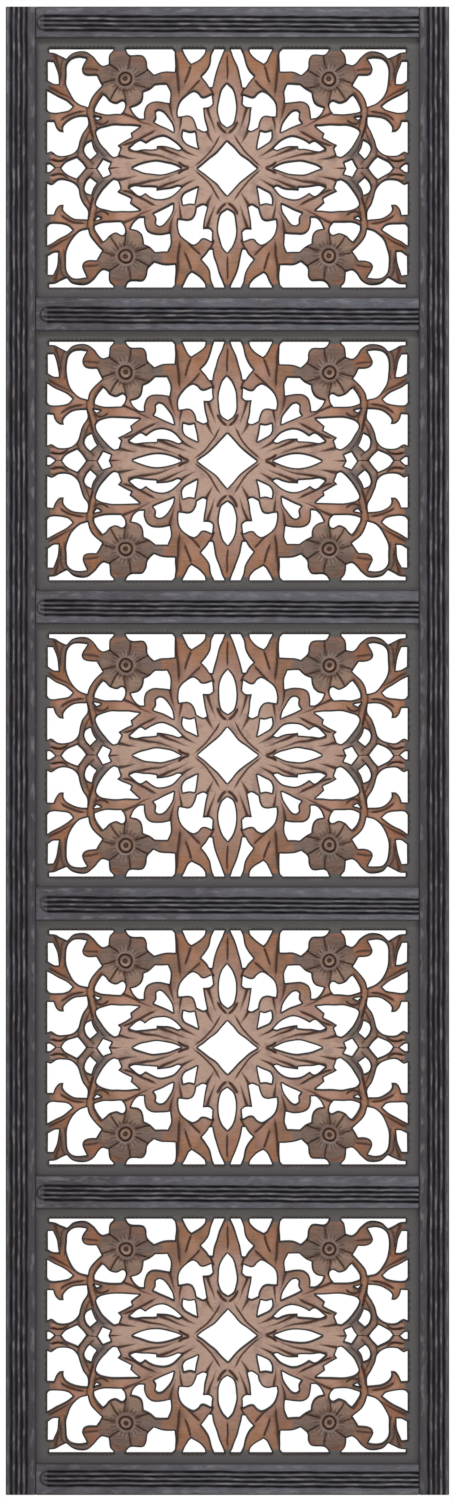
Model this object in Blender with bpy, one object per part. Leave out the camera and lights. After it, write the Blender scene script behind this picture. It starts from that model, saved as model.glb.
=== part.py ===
"""Carved wall panel: a tall frame with reeded faces that holds five pierced, carved boards.

The front looks along -Y, +X is to the right and +Z is up. The wall is the plane y = 0, and the
origin is the centre of the top rail's back face, where the panel is fixed to the wall.
"""

import math

import bmesh
import bpy
from mathutils.geometry import delaunay_2d_cdt

# Frame, in metres
FRAME_WIDTH = 0.360
STILE_WIDTH = 0.0245
MIDDLE_RAIL_WIDTH = 0.0275
END_RAIL_WIDTH = 0.0255
LIP_THICKNESS = 0.005
REBATE_WIDTH = 0.005
BACK_RECESS = 0.0062
ARRIS = 0.0009
CLEARANCE = 0.0003

# Reeds along the face of every frame member, centred on a rail and towards a stile's outer edge
REED_GROOVES = 4
REED_DEPTH = 0.0020
REED_SHOULDER = 0.0010
STILE_REED_PITCH = 0.0041
RAIL_REED_PITCH = 0.0038
STILE_REED_EDGE = 0.0044

# Carved boards. Each window is as much taller or lower than the usual height as its extra says,
# from the top down.
BOARD_THICKNESS = 0.0105
WINDOW_HEIGHT = 0.1931
WINDOW_EXTRAS = (0.0009, 0.0009, 0.0038, -0.0028, -0.0028)
SIDE_MARGIN = 0.009
END_MARGIN = 0.0082
FACET_AREA = 44e-6
LEAF_SINK = 0.0018

# Flowers, with their radii as shares of the carving grid below
FLOWER_CENTRE = (101.6, 88.5)
FLOWER_CREASES = (45, 105, 160, 205, 268, 311, 353)
CREASE_RADIUS = 13.0
PETAL_RADIUS = 17.0
PETAL_RISE = 0.0018
BUTTON_RISE = 0.0026
CREASE_SINK = 0.0006

# Pierced ground of a quarter of the window, on a grid that runs across and up from the window's
# centre to its edges. The other quarters mirror it. CUT marks a corner where two saw cuts meet,
# and the points between two corners lie on a smooth curve.
CUT = "cut"
OPENINGS = {
    "centre_diamond": [(0, 27, CUT), (4.7, 21.9), (11.3, 14.4), (18.8, 8.4), (29.8, 0, CUT), (0, 0, CUT)],
    "spire_eye": [(0, 84.4, CUT), (4.7, 78.6), (8.6, 61), (5.5, 45), (0, 40.9, CUT)],
    "spire_gap": [(13, 119.5, CUT), (17.5, 104), (25.8, 91.5, CUT), (18, 81.2, CUT), (15.1, 81.2, CUT),
                  (12.6, 93), (8.6, 105.5), (3, 119.5, CUT)],
    "tulip_notch": [(44.9, 119.5, CUT), (22.1, 119.5, CUT), (28, 109.5), (36, 104.6, CUT), (40, 109)],
    "tulip_bay": [(48.6, 51.8, CUT), (49, 58), (42, 72), (34.5, 76.4), (26.5, 70.8), (15.8, 73, CUT),
                  (15.1, 63.7, CUT), (24.6, 60.8, CUT), (22.5, 47.1), (20.6, 38.6, CUT), (30.4, 39.9, CUT),
                  (32, 46.3), (35, 51.3), (39.5, 52.9)],
    "bud_hole": [(44.1, 36.9, CUT), (44.5, 30.5), (42, 25.8), (30, 19.4, CUT), (33, 36.2, CUT)],
    "hook_eye": [(73.5, 45.5, CUT), (71.3, 55.5, CUT), (68.5, 57.5), (64.4, 56.3), (55.3, 43.8),
                 (54, 36.4, CUT)],
    "arc_slot": [(97.6, 19.8, CUT), (87.6, 27.4), (81.8, 24.7, CUT), (70, 30.8), (62.7, 31), (54.4, 27.6),
                 (46.1, 19.4, CUT), (55, 20.2), (70.6, 22.4, CUT), (71, 19.4, CUT), (83.5, 18.6)],
    "leaf_eye": [(46, 0, CUT), (58, 4.7), (70.4, 6.6), (82.7, 4.7), (94.7, 0, CUT)],
    "flower_tulip_bay": [(101.5, 119.5, CUT), (55.3, 119.5, CUT), (52.6, 116), (52.6, 97, CUT),
                         (65.2, 96.5), (73.5, 93.8, CUT), (79.7, 100.2), (84.5, 112.8, CUT), (96, 113.2)],
    "flower_hook_bay": [(96.3, 60.6, CUT), (90, 62.3), (84.2, 70), (83.6, 76, CUT), (71.9, 83.6, CUT),
                        (60.2, 83.8, CUT), (57, 76), (57.6, 65.4, CUT), (66.9, 66.8), (75.5, 66.2),
                        (81, 62.5), (83.5, 49.6, CUT), (93.5, 54.8)],
    "leaf_bay": [(131.2, 36.4), (127.9, 39.7), (121, 42), (88.1, 42.2, CUT), (97.2, 34.7, CUT),
                 (95.9, 30.5, CUT), (109.6, 23.1, CUT), (106.7, 19.8, CUT), (109.6, 12.3, CUT),
                 (113.8, 11.5), (122.9, 19.8), (130.8, 33)],
    "below_flower": [(124.5, 73, CUT), (132.4, 57.1, CUT), (127.9, 55.4), (106.3, 54.2, CUT),
                     (102.2, 61), (105, 67, CUT), (111.3, 64.5), (117.9, 66.8)],
    "star": [(129.5, 0, CUT), (124.1, 8.6, CUT), (116.7, 5.7, CUT), (119.2, 0, CUT)],
    "teardrop": [(136.2, 27, CUT), (142.8, 19.5), (137.4, 9.5, CUT), (130.8, 15.3, CUT)],
    "top_corner": [(178, 119.5, CUT), (114, 119.5, CUT), (118.7, 104, CUT), (124.5, 102.5), (128.7, 105.5),
                   (139.5, 116), (154.5, 115), (160.5, 109.7, CUT), (172, 115.3)],
    "arch": [(159.5, 104), (155, 109), (140.5, 109.5, CUT), (145.3, 99.8), (139.5, 92.6), (131, 92.3, CUT),
             (125.2, 82.6, CUT), (137.8, 67.9), (139.5, 61.2, CUT), (155, 71.5), (160, 83)],
    "side_slot": [(180, 106.8, CUT), (174, 106.8, CUT), (170.3, 97), (168.5, 84.2, CUT), (180, 87.8, CUT)],
    "side_wedge": [(180, 77.5, CUT), (171.8, 72.8), (154.6, 61.8, CUT), (159, 57.8), (169.3, 55.8),
                   (180, 58.5, CUT)],
    "side_bay": [(180, 46.5, CUT), (173.9, 46.6, CUT), (168, 36.9), (163.5, 36.4, CUT), (160.5, 46),
                 (147, 51.3), (140.3, 51.5, CUT), (139.9, 43), (147.3, 28.1), (149.8, 19.8), (161, 12.4),
                 (169.3, 12.8), (180, 15.3, CUT)],
    "side_diamond": [(165.4, 0, CUT), (161, 5.3), (150.2, 10.6, CUT), (141.5, 0, CUT)],
}
GRID_ACROSS = max(point[0] for points in OPENINGS.values() for point in points)
GRID_UP = max(point[1] for points in OPENINGS.values() for point in points)

# Lowest points of the hollows that the gouge left along the leaves, on the same grid
LEAF_HOLLOWS = ((13, 43), (30, 86), (58, 15), (86, 11), (92, 32), (57, 61), (152, 54), (168, 76))
CURVE_STEPS = 12
FEWEST_CORNERS = 4
TOUCH = 1e-6

# Sizes that follow from the ones above
FRAME_DEPTH = LIP_THICKNESS + CLEARANCE + BOARD_THICKNESS + BACK_RECESS
REBATE_FACE = -(FRAME_DEPTH - LIP_THICKNESS)
BOARD_FRONT = REBATE_FACE + CLEARANCE
BOARD_SPAN = FRAME_WIDTH - 2 * STILE_WIDTH
BOARD_COUNT = len(WINDOW_EXTRAS)
BOARD_RISES = [WINDOW_HEIGHT + extra + 2 * END_MARGIN for extra in WINDOW_EXTRAS]
BOARD_HALF_WIDTH = BOARD_SPAN / 2 + REBATE_WIDTH - CLEARANCE
WINDOW_WIDTH = BOARD_SPAN - 2 * SIDE_MARGIN
STEP_ACROSS = WINDOW_WIDTH / 2 / GRID_ACROSS
FRAME_TOP = END_RAIL_WIDTH / 2
FRAME_BOTTOM = -(sum(BOARD_RISES) + (BOARD_COUNT - 1) * MIDDLE_RAIL_WIDTH + 1.5 * END_RAIL_WIDTH)
BOARD_TOPS = [
    -END_RAIL_WIDTH / 2 - sum(BOARD_RISES[:index]) - index * MIDDLE_RAIL_WIDTH for index in range(BOARD_COUNT)
]

FRAME_COLOUR = (0.052, 0.052, 0.055, 1.0)
CARVING_COLOUR = (0.235, 0.125, 0.075, 1.0)


def clear_scene():
    """Remove every object of the scene."""
    for scene_object in list(bpy.data.objects):
        bpy.data.objects.remove(scene_object, do_unlink=True)


def wood(name, colour, roughness):
    """Return a wood material."""
    material = bpy.data.materials.new(name)
    material.use_nodes = True
    shader = material.node_tree.nodes["Principled BSDF"]
    shader.inputs["Base Color"].default_value = colour
    shader.inputs["Roughness"].default_value = roughness
    shader.inputs["Metallic"].default_value = 0.0
    return material


def add_object(name, mesh, material=None):
    """Link an object with this mesh, and its material, to the scene."""
    new_object = bpy.data.objects.new(name, mesh)
    bpy.context.scene.collection.objects.link(new_object)
    if material:
        new_object.data.materials.append(material)
    return new_object


# Frame members

def reed_points(width, first_groove, pitch):
    """Return (place across the face, depth below it) for every point of the reeds, in order."""
    grooves = [first_groove + index * pitch for index in range(REED_GROOVES)]
    grooves = [place for place in grooves if place + REED_SHOULDER + ARRIS < width]
    points = []
    for place in grooves:
        points += [(place - REED_SHOULDER, 0.0), (place, REED_DEPTH), (place + REED_SHOULDER, 0.0)]
    return points


def member_profile(width, first_groove, reed_pitch, rebate_start, rebate_end):
    """Return the section of a frame member as (place across its width, y) points."""
    face = -FRAME_DEPTH
    back_start = REBATE_WIDTH if rebate_start else 0.0
    back_end = width - REBATE_WIDTH if rebate_end else width
    profile = [(back_start, 0.0)]
    if rebate_start:
        profile += [(back_start, REBATE_FACE), (0.0, REBATE_FACE)]
    profile += [(0.0, face + ARRIS), (ARRIS, face)]
    profile += [(place, face + depth) for place, depth in reed_points(width, first_groove, reed_pitch)]
    profile += [(width - ARRIS, face), (width, face + ARRIS)]
    if rebate_end:
        profile += [(width, REBATE_FACE), (back_end, REBATE_FACE)]
    profile.append((back_end, 0.0))
    return profile


def extruded_mesh(name, start_points, run):
    """Return a closed mesh made by pushing a closed section along the run vector."""
    mesh = bpy.data.meshes.new(name)
    shape = bmesh.new()
    section = shape.faces.new([shape.verts.new(point) for point in start_points])
    extruded = bmesh.ops.extrude_face_region(shape, geom=[section], use_keep_orig=True)
    moved = [item for item in extruded["geom"] if isinstance(item, bmesh.types.BMVert)]
    bmesh.ops.translate(shape, verts=moved, vec=run)
    bmesh.ops.recalc_face_normals(shape, faces=shape.faces)
    shape.to_mesh(mesh)
    shape.free()
    return mesh


def make_stile(name, side, material):
    """Make an upright of the frame: side is -1 on the left and 1 on the right."""
    profile = member_profile(STILE_WIDTH, STILE_REED_EDGE, STILE_REED_PITCH, False, True)
    points = [(side * (FRAME_WIDTH / 2 - across), y, FRAME_BOTTOM) for across, y in profile]
    return add_object(name, extruded_mesh(name, points, (0, 0, FRAME_TOP - FRAME_BOTTOM)), material)


def box_pair_mesh(name, near, far, low, high):
    """Return two boxes mirrored about x = 0, from x = near to far, between two (y, z) corners."""
    mesh = bpy.data.meshes.new(name)
    shape = bmesh.new()
    for side in (-1, 1):
        box = bmesh.ops.create_cube(shape, size=1.0)["verts"]
        for corner in box:
            corner.co.x = side * (far if corner.co.x > 0 else near)
            corner.co.y = high[0] if corner.co.y > 0 else low[0]
            corner.co.z = high[1] if corner.co.z > 0 else low[1]
    bmesh.ops.recalc_face_normals(shape, faces=shape.faces)
    shape.to_mesh(mesh)
    shape.free()
    return mesh


def make_rail(name, top, width, rebate_above, rebate_below, material):
    """Make a rail whose face stops between the stiles while its back laps into their rebates."""
    first_groove = (width - (REED_GROOVES - 1) * RAIL_REED_PITCH) / 2
    profile = member_profile(width, first_groove, RAIL_REED_PITCH, rebate_above, rebate_below)
    points = [(-BOARD_HALF_WIDTH, y, top - across) for across, y in profile]
    rail = add_object(name, extruded_mesh(name, points, (2 * BOARD_HALF_WIDTH, 0, 0)), material)
    cutter_name = name + "_shoulder_cutter"
    cutter_mesh = box_pair_mesh(
        cutter_name,
        BOARD_SPAN / 2 - CLEARANCE,
        BOARD_HALF_WIDTH + REBATE_WIDTH,
        (-FRAME_DEPTH - LIP_THICKNESS, top - width - REBATE_WIDTH),
        (BOARD_FRONT, top + REBATE_WIDTH),
    )
    cutter = add_object(cutter_name, cutter_mesh)
    cutter.hide_render = True
    cutter.display_type = "WIRE"
    shoulders = rail.modifiers.new("Shoulders", "BOOLEAN")
    shoulders.operation = "DIFFERENCE"
    shoulders.solver = "EXACT"
    shoulders.object = cutter
    return rail


def make_frame(material):
    """Make the two stiles and all the rails, named from the top down."""
    make_stile("stile_left", -1, material)
    make_stile("stile_right", 1, material)
    rail_count = BOARD_COUNT + 1
    for index in range(rail_count):
        is_top = index == 0
        is_bottom = index == rail_count - 1
        width = END_RAIL_WIDTH if is_top or is_bottom else MIDDLE_RAIL_WIDTH
        top = FRAME_TOP if is_top else BOARD_TOPS[index - 1] - BOARD_RISES[index - 1]
        make_rail(f"rail_{index + 1}", top, width, not is_top, not is_bottom, material)


# Carved boards

def smooth_run(before, start, end, after):
    """Return the points of a smooth curve from start up to, but without, end."""
    length = math.dist(start, end)

    def heading(first, middle, last):
        reach = math.dist(first, middle) + math.dist(middle, last)
        return [(b - a) / reach * length for a, b in zip(first, last)]

    leave = heading(before, start, end)
    arrive = heading(start, end, after)
    points = []
    for step in range(CURVE_STEPS):
        t = step / CURVE_STEPS
        points.append(tuple(
            (2 * t**3 - 3 * t**2 + 1) * start[axis] + (t**3 - 2 * t**2 + t) * leave[axis]
            + (3 * t**2 - 2 * t**3) * end[axis] + (t**3 - t**2) * arrive[axis]
            for axis in range(2)
        ))
    return points


def worth(before, here, after):
    """Return the area that dropping a point would change, boundless at a corner on a mirror line."""
    area = abs(
        (here[0] - before[0]) * (after[1] - before[1]) - (here[1] - before[1]) * (after[0] - before[0])
    ) / 2
    return math.inf if min(here) < TOUCH and area > TOUCH**2 else area


def thinned(outline):
    """Drop the points of a closed outline that change its shape by less than the facet area."""
    while True:
        worths = [
            worth(outline[index - 1], outline[index], outline[(index + 1) % len(outline)])
            for index in range(len(outline))
        ]
        least = min(worths)
        if least > FACET_AREA or len(outline) <= FEWEST_CORNERS:
            return outline
        outline.pop(worths.index(least))


def opening_outline(points, step_up):
    """Return one opening's outline, anticlockwise, in metres from the window's centre."""
    placed = [(point[0] * STEP_ACROSS, point[1] * step_up) for point in points]
    is_corner = [CUT in point for point in points]
    count = len(points)
    outline = []
    for here in range(count):
        after = (here + 1) % count
        start, end = placed[here], placed[after]
        before = start if is_corner[here] else placed[here - 1]
        beyond = end if is_corner[after] else placed[(after + 1) % count]
        outline += smooth_run(before, start, end, beyond)
    outline = thinned(outline)
    turn = sum(x * outline[index - 1][1] - z * outline[index - 1][0] for index, (x, z) in enumerate(outline))
    return outline if turn < 0 else outline[::-1]


def carved_points(step_up):
    """Return (x, z, rise) for the leaf hollows and for a flower's button, creases and petals."""
    centre_across, centre_up = FLOWER_CENTRE
    points = [(centre_across * STEP_ACROSS, centre_up * step_up, BUTTON_RISE)]
    points += [(across * STEP_ACROSS, up * step_up, -LEAF_SINK) for across, up in LEAF_HOLLOWS]
    for index, crease in enumerate(FLOWER_CREASES):
        following = FLOWER_CREASES[(index + 1) % len(FLOWER_CREASES)]
        petal = crease + (following - crease) % 360 / 2
        for angle, radius, rise in ((crease, CREASE_RADIUS, -CREASE_SINK), (petal, PETAL_RADIUS, PETAL_RISE)):
            across = centre_across + radius * math.cos(math.radians(angle))
            up = centre_up + radius * math.sin(math.radians(angle))
            points.append((across * STEP_ACROSS, up * step_up, rise))
    return points


def pierced_triangles(outlines, inner_points, half_height):
    """Return the plane points and triangles of a quarter board with its openings left out."""
    points = [(0, 0), (BOARD_HALF_WIDTH, 0), (BOARD_HALF_WIDTH, half_height), (0, half_height)]
    faces = [list(range(len(points)))]
    for outline in outlines:
        faces.append(list(range(len(points), len(points) + len(outline))))
        points += outline
    points += [(x, z) for x, z, _ in inner_points]
    result = delaunay_2d_cdt(points, [], faces, 1, 1e-7, True)
    flat_points, triangles, parents = result[0], result[2], result[5]
    kept = [triangle for triangle, inside in zip(triangles, parents) if list(inside) == [0]]
    return [tuple(point) for point in flat_points], kept


def add_sheet(shape, corners, points, triangles, y_at, flip):
    """Add one face of the board, sharing the vertices that it has in common with the rest."""
    for triangle in triangles:
        ring = []
        for index in triangle:
            x, z = points[index]
            key = (round(x, 7), round(y_at(x, z), 7), round(z, 7))
            if key not in corners:
                corners[key] = shape.verts.new(key)
            ring.append(corners[key])
        shape.faces.new(reversed(ring) if flip else ring)


def add_walls(shape, corners):
    """Close the board from front to back along each opening and along its outer edges."""
    back = round(BOARD_FRONT + BOARD_THICKNESS, 7)
    rim = [edge for edge in shape.edges if edge.is_boundary and edge.verts[0].co.y < back - CLEARANCE]
    for edge in rim:
        start, end = edge.verts
        on_mirror = any(abs(start.co[axis]) < 1e-6 and abs(end.co[axis]) < 1e-6 for axis in (0, 2))
        if not on_mirror:
            behind = [corners[(round(v.co.x, 7), back, round(v.co.z, 7))] for v in (end, start)]
            shape.faces.new([start, end] + behind)


def quarter_board_mesh(window_height):
    """Return a quarter of a board with this height of window, open where the mirrors meet."""
    step_up = window_height / 2 / GRID_UP
    half_height = window_height / 2 + END_MARGIN + REBATE_WIDTH - CLEARANCE
    outlines = [opening_outline(points, step_up) for points in OPENINGS.values()]
    carved = carved_points(step_up)
    rises = {(round(x, 5), round(z, 5)): rise for x, z, rise in carved}
    shape = bmesh.new()
    corners = {}

    def front(x, z):
        return BOARD_FRONT - rises.get((round(x, 5), round(z, 5)), 0.0)

    def back(x, z):
        return BOARD_FRONT + BOARD_THICKNESS

    add_sheet(shape, corners, *pierced_triangles(outlines, carved, half_height), front, False)
    add_sheet(shape, corners, *pierced_triangles(outlines, [], half_height), back, True)
    add_walls(shape, corners)
    bmesh.ops.recalc_face_normals(shape, faces=shape.faces)
    mesh = bpy.data.meshes.new("carved_board")
    shape.to_mesh(mesh)
    shape.free()
    return mesh


def make_boards(material):
    """Make the carved boards, one below the other, each mirrored from its own quarter."""
    for index, (top, rise, extra) in enumerate(zip(BOARD_TOPS, BOARD_RISES, WINDOW_EXTRAS)):
        mesh = quarter_board_mesh(WINDOW_HEIGHT + extra)
        mesh.materials.append(material)
        board = add_object(f"carved_board_{index + 1}", mesh)
        board.location.z = top - rise / 2
        mirror = board.modifiers.new("Four quarters", "MIRROR")
        mirror.use_axis = (True, False, True)
        mirror.use_mirror_merge = True
        mirror.merge_threshold = 0.00001


def main():
    """Build the whole panel."""
    clear_scene()
    make_frame(wood("Frame wood", FRAME_COLOUR, 0.62))
    make_boards(wood("Carved wood", CARVING_COLOUR, 0.58))


main()
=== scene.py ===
"""Looks of the carved wall panel: reeded dark frame members around five pierced, carved boards."""

import logging
import math
from collections.abc import Sequence
from dataclasses import dataclass, field
from enum import Enum

import bmesh
import bpy
import numpy as np
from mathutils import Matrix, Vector
from mathutils.geometry import delaunay_2d_cdt


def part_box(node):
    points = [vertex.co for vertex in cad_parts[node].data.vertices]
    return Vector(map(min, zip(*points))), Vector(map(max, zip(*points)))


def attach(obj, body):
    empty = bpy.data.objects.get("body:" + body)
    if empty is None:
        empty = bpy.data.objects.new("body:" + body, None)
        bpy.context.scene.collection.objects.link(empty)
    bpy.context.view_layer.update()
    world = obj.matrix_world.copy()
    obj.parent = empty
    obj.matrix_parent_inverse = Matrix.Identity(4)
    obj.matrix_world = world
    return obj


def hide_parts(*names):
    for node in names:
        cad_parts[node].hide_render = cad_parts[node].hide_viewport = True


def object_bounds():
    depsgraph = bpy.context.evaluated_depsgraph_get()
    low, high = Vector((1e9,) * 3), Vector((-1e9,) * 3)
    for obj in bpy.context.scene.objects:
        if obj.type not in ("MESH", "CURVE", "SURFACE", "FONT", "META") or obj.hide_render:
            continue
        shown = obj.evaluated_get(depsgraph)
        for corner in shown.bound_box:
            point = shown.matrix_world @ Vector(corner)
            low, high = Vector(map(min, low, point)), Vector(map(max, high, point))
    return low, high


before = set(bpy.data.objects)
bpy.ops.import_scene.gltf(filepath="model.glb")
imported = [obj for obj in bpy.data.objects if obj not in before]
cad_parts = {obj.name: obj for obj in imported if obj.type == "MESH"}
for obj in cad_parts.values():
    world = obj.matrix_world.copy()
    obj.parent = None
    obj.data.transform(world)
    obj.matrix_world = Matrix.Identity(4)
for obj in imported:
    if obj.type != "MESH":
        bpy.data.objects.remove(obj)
CAD_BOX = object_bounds()
LOG = logging.getLogger("carved_panel")

Point = tuple[float, float]
Colour = tuple[float, float, float, float]
Socket = bpy.types.NodeSocket

BOARD_COUNT = 5

# Fits that the solids keep, in metres
LIP_THICKNESS = 0.005
REBATE_WIDTH = 0.005
BOARD_THICKNESS = 0.0105
CLEARANCE = 0.0003
SIDE_MARGIN = 0.009
END_MARGIN = 0.0082

# How sharp an edge is shaded sharp, and how many points are measured at once
FRAME_SHARP = math.radians(40)
BOARD_SHARP = math.radians(38)
CHUNK = 1000


class Run(Enum):
    """Which way a frame member runs."""

    UPRIGHT = 2
    LEVEL = 0


class Cut(Enum):
    """How a groove of the carving was cut."""

    GOUGE = "wide and deep where it leaves the leaf's edge, running out to a point"
    LINE = "narrow and even"


# Shared mesh work

def deselect_everything() -> None:
    """Deselect every object, so that an operator acts on the next one alone."""
    bpy.ops.object.select_all(action="DESELECT")


def make_active(piece: bpy.types.Object) -> None:
    """Select one object alone and make it the active one."""
    deselect_everything()
    piece.select_set(True)
    bpy.context.view_layer.objects.active = piece


def node_corners(node: str) -> tuple[Vector, Vector]:
    """Return a CAD node's lowest and highest corners."""
    low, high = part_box(node)
    return Vector(low), Vector(high)


def box_corners(across: Point, deep: Point, up: Point) -> tuple[Vector, Vector]:
    """Return a box's lowest and highest corners from its ends along X, Y and Z."""
    low, high = zip(across, deep, up)
    return Vector(low), Vector(high)


def unit_along(axis: int) -> Vector:
    """Return a step of one along an axis."""
    step = Vector((0.0, 0.0, 0.0))
    step[axis] = 1.0
    return step


def score_line(place: Vector, axis: int) -> None:
    """Score a line round the whole mesh in edit mode, on the plane square to an axis at a place."""
    bpy.ops.mesh.select_all(action="SELECT")
    bpy.ops.mesh.bisect(plane_co=place, plane_no=unit_along(axis))


def add_block(name: str, low: Sequence[float], high: Sequence[float]) -> bpy.types.Object:
    """Add a cube primitive stretched between two corners, with its place in its mesh.

    Args:
        name: the new object's name.
        low: its lowest corner.
        high: its highest corner.

    Returns:
        The new object, active and selected.
    """
    deselect_everything()
    low, high = Vector(low), Vector(high)
    bpy.ops.mesh.primitive_cube_add(size=1.0, location=(low + high) / 2, scale=high - low)
    bpy.ops.object.transform_apply(location=True, rotation=True, scale=True)
    block = bpy.context.object
    block.name = name
    return block


def cut_away(piece: bpy.types.Object, low: Sequence[float], high: Sequence[float]) -> None:
    """Cut a box out of a piece with an applied Boolean.

    Args:
        piece: the piece that is cut.
        low: the box's lowest corner.
        high: the box's highest corner.
    """
    cutter = add_block("cutter", low, high)
    cut = piece.modifiers.new("Cut", "BOOLEAN")
    cut.operation = "DIFFERENCE"
    cut.solver = "MANIFOLD"
    cut.object = cutter
    make_active(piece)
    bpy.ops.object.modifier_apply(modifier=cut.name)
    bpy.data.objects.remove(cutter, do_unlink=True)


def read_places(mesh: bpy.types.Mesh) -> np.ndarray:
    """Return a mesh's vertex places as an array of rows."""
    places = np.empty(len(mesh.vertices) * 3)
    mesh.vertices.foreach_get("co", places)
    return places.reshape(-1, 3)


def write_places(mesh: bpy.types.Mesh, places: np.ndarray) -> None:
    """Write an array of rows back as a mesh's vertex places."""
    mesh.vertices.foreach_set("co", places.ravel())
    mesh.update()


def paint(mesh: bpy.types.Mesh, name: str, values: np.ndarray) -> None:
    """Store one number for each vertex, for the materials to read."""
    layer = mesh.attributes.new(name, "FLOAT", "POINT")
    layer.data.foreach_set("value", np.asarray(values, dtype=np.float32))


def hand_over(piece: bpy.types.Object, node: str, material: bpy.types.Material) -> None:
    """Dress a finished piece and let it stand for its CAD node.

    Args:
        piece: the finished piece.
        node: the CAD node that it replaces.
        material: its finish.
    """
    piece.data.materials.clear()
    piece.data.materials.append(material)
    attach(piece, "root")
    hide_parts(node)
    LOG.info("%s replaces %s with %d faces", piece.name, node, len(piece.data.polygons))


def fade(value: np.ndarray, start: float, end: float) -> np.ndarray:
    """Return 0 before start and 1 after end, with a smooth change between them."""
    share = np.clip((value - start) / (end - start), 0.0, 1.0)
    return share * share * (3.0 - 2.0 * share)


def tent(value: np.ndarray, peak: float, reach: float) -> np.ndarray:
    """Return 1 at a peak, falling evenly to 0 at a reach on each side of it."""
    return np.clip(1 - np.abs(value - peak) / reach, 0, 1)


class Waver:
    """A slow wander that repeats exactly for one seed, as a tool guided by hand leaves."""

    def __init__(self, seed: int, lengths: Sequence[float], size: float) -> None:
        """Draw the waves.

        Args:
            seed: picks the wander.
            lengths: the wavelengths, in metres.
            size: how far it wanders, in metres.
        """
        draw = np.random.default_rng(seed)
        self.waves = [
            (2 * math.pi / length, draw.uniform(0, 2 * math.pi), draw.uniform(0, 2 * math.pi))
            for length in lengths
        ]
        self.size = size

    def along(self, place: np.ndarray) -> np.ndarray:
        """Return the wander at places along a line."""
        total = sum(np.sin(rate * place + phase) for rate, _, phase in self.waves)
        return self.size * total / len(self.waves)

    def over(self, across: np.ndarray, up: np.ndarray) -> np.ndarray:
        """Return the wander at places on a plane."""
        total = sum(
            np.sin(rate * (across * math.cos(turn) + up * math.sin(turn)) + phase)
            for rate, turn, phase in self.waves
        )
        return self.size * total / len(self.waves)


# Frame

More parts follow.
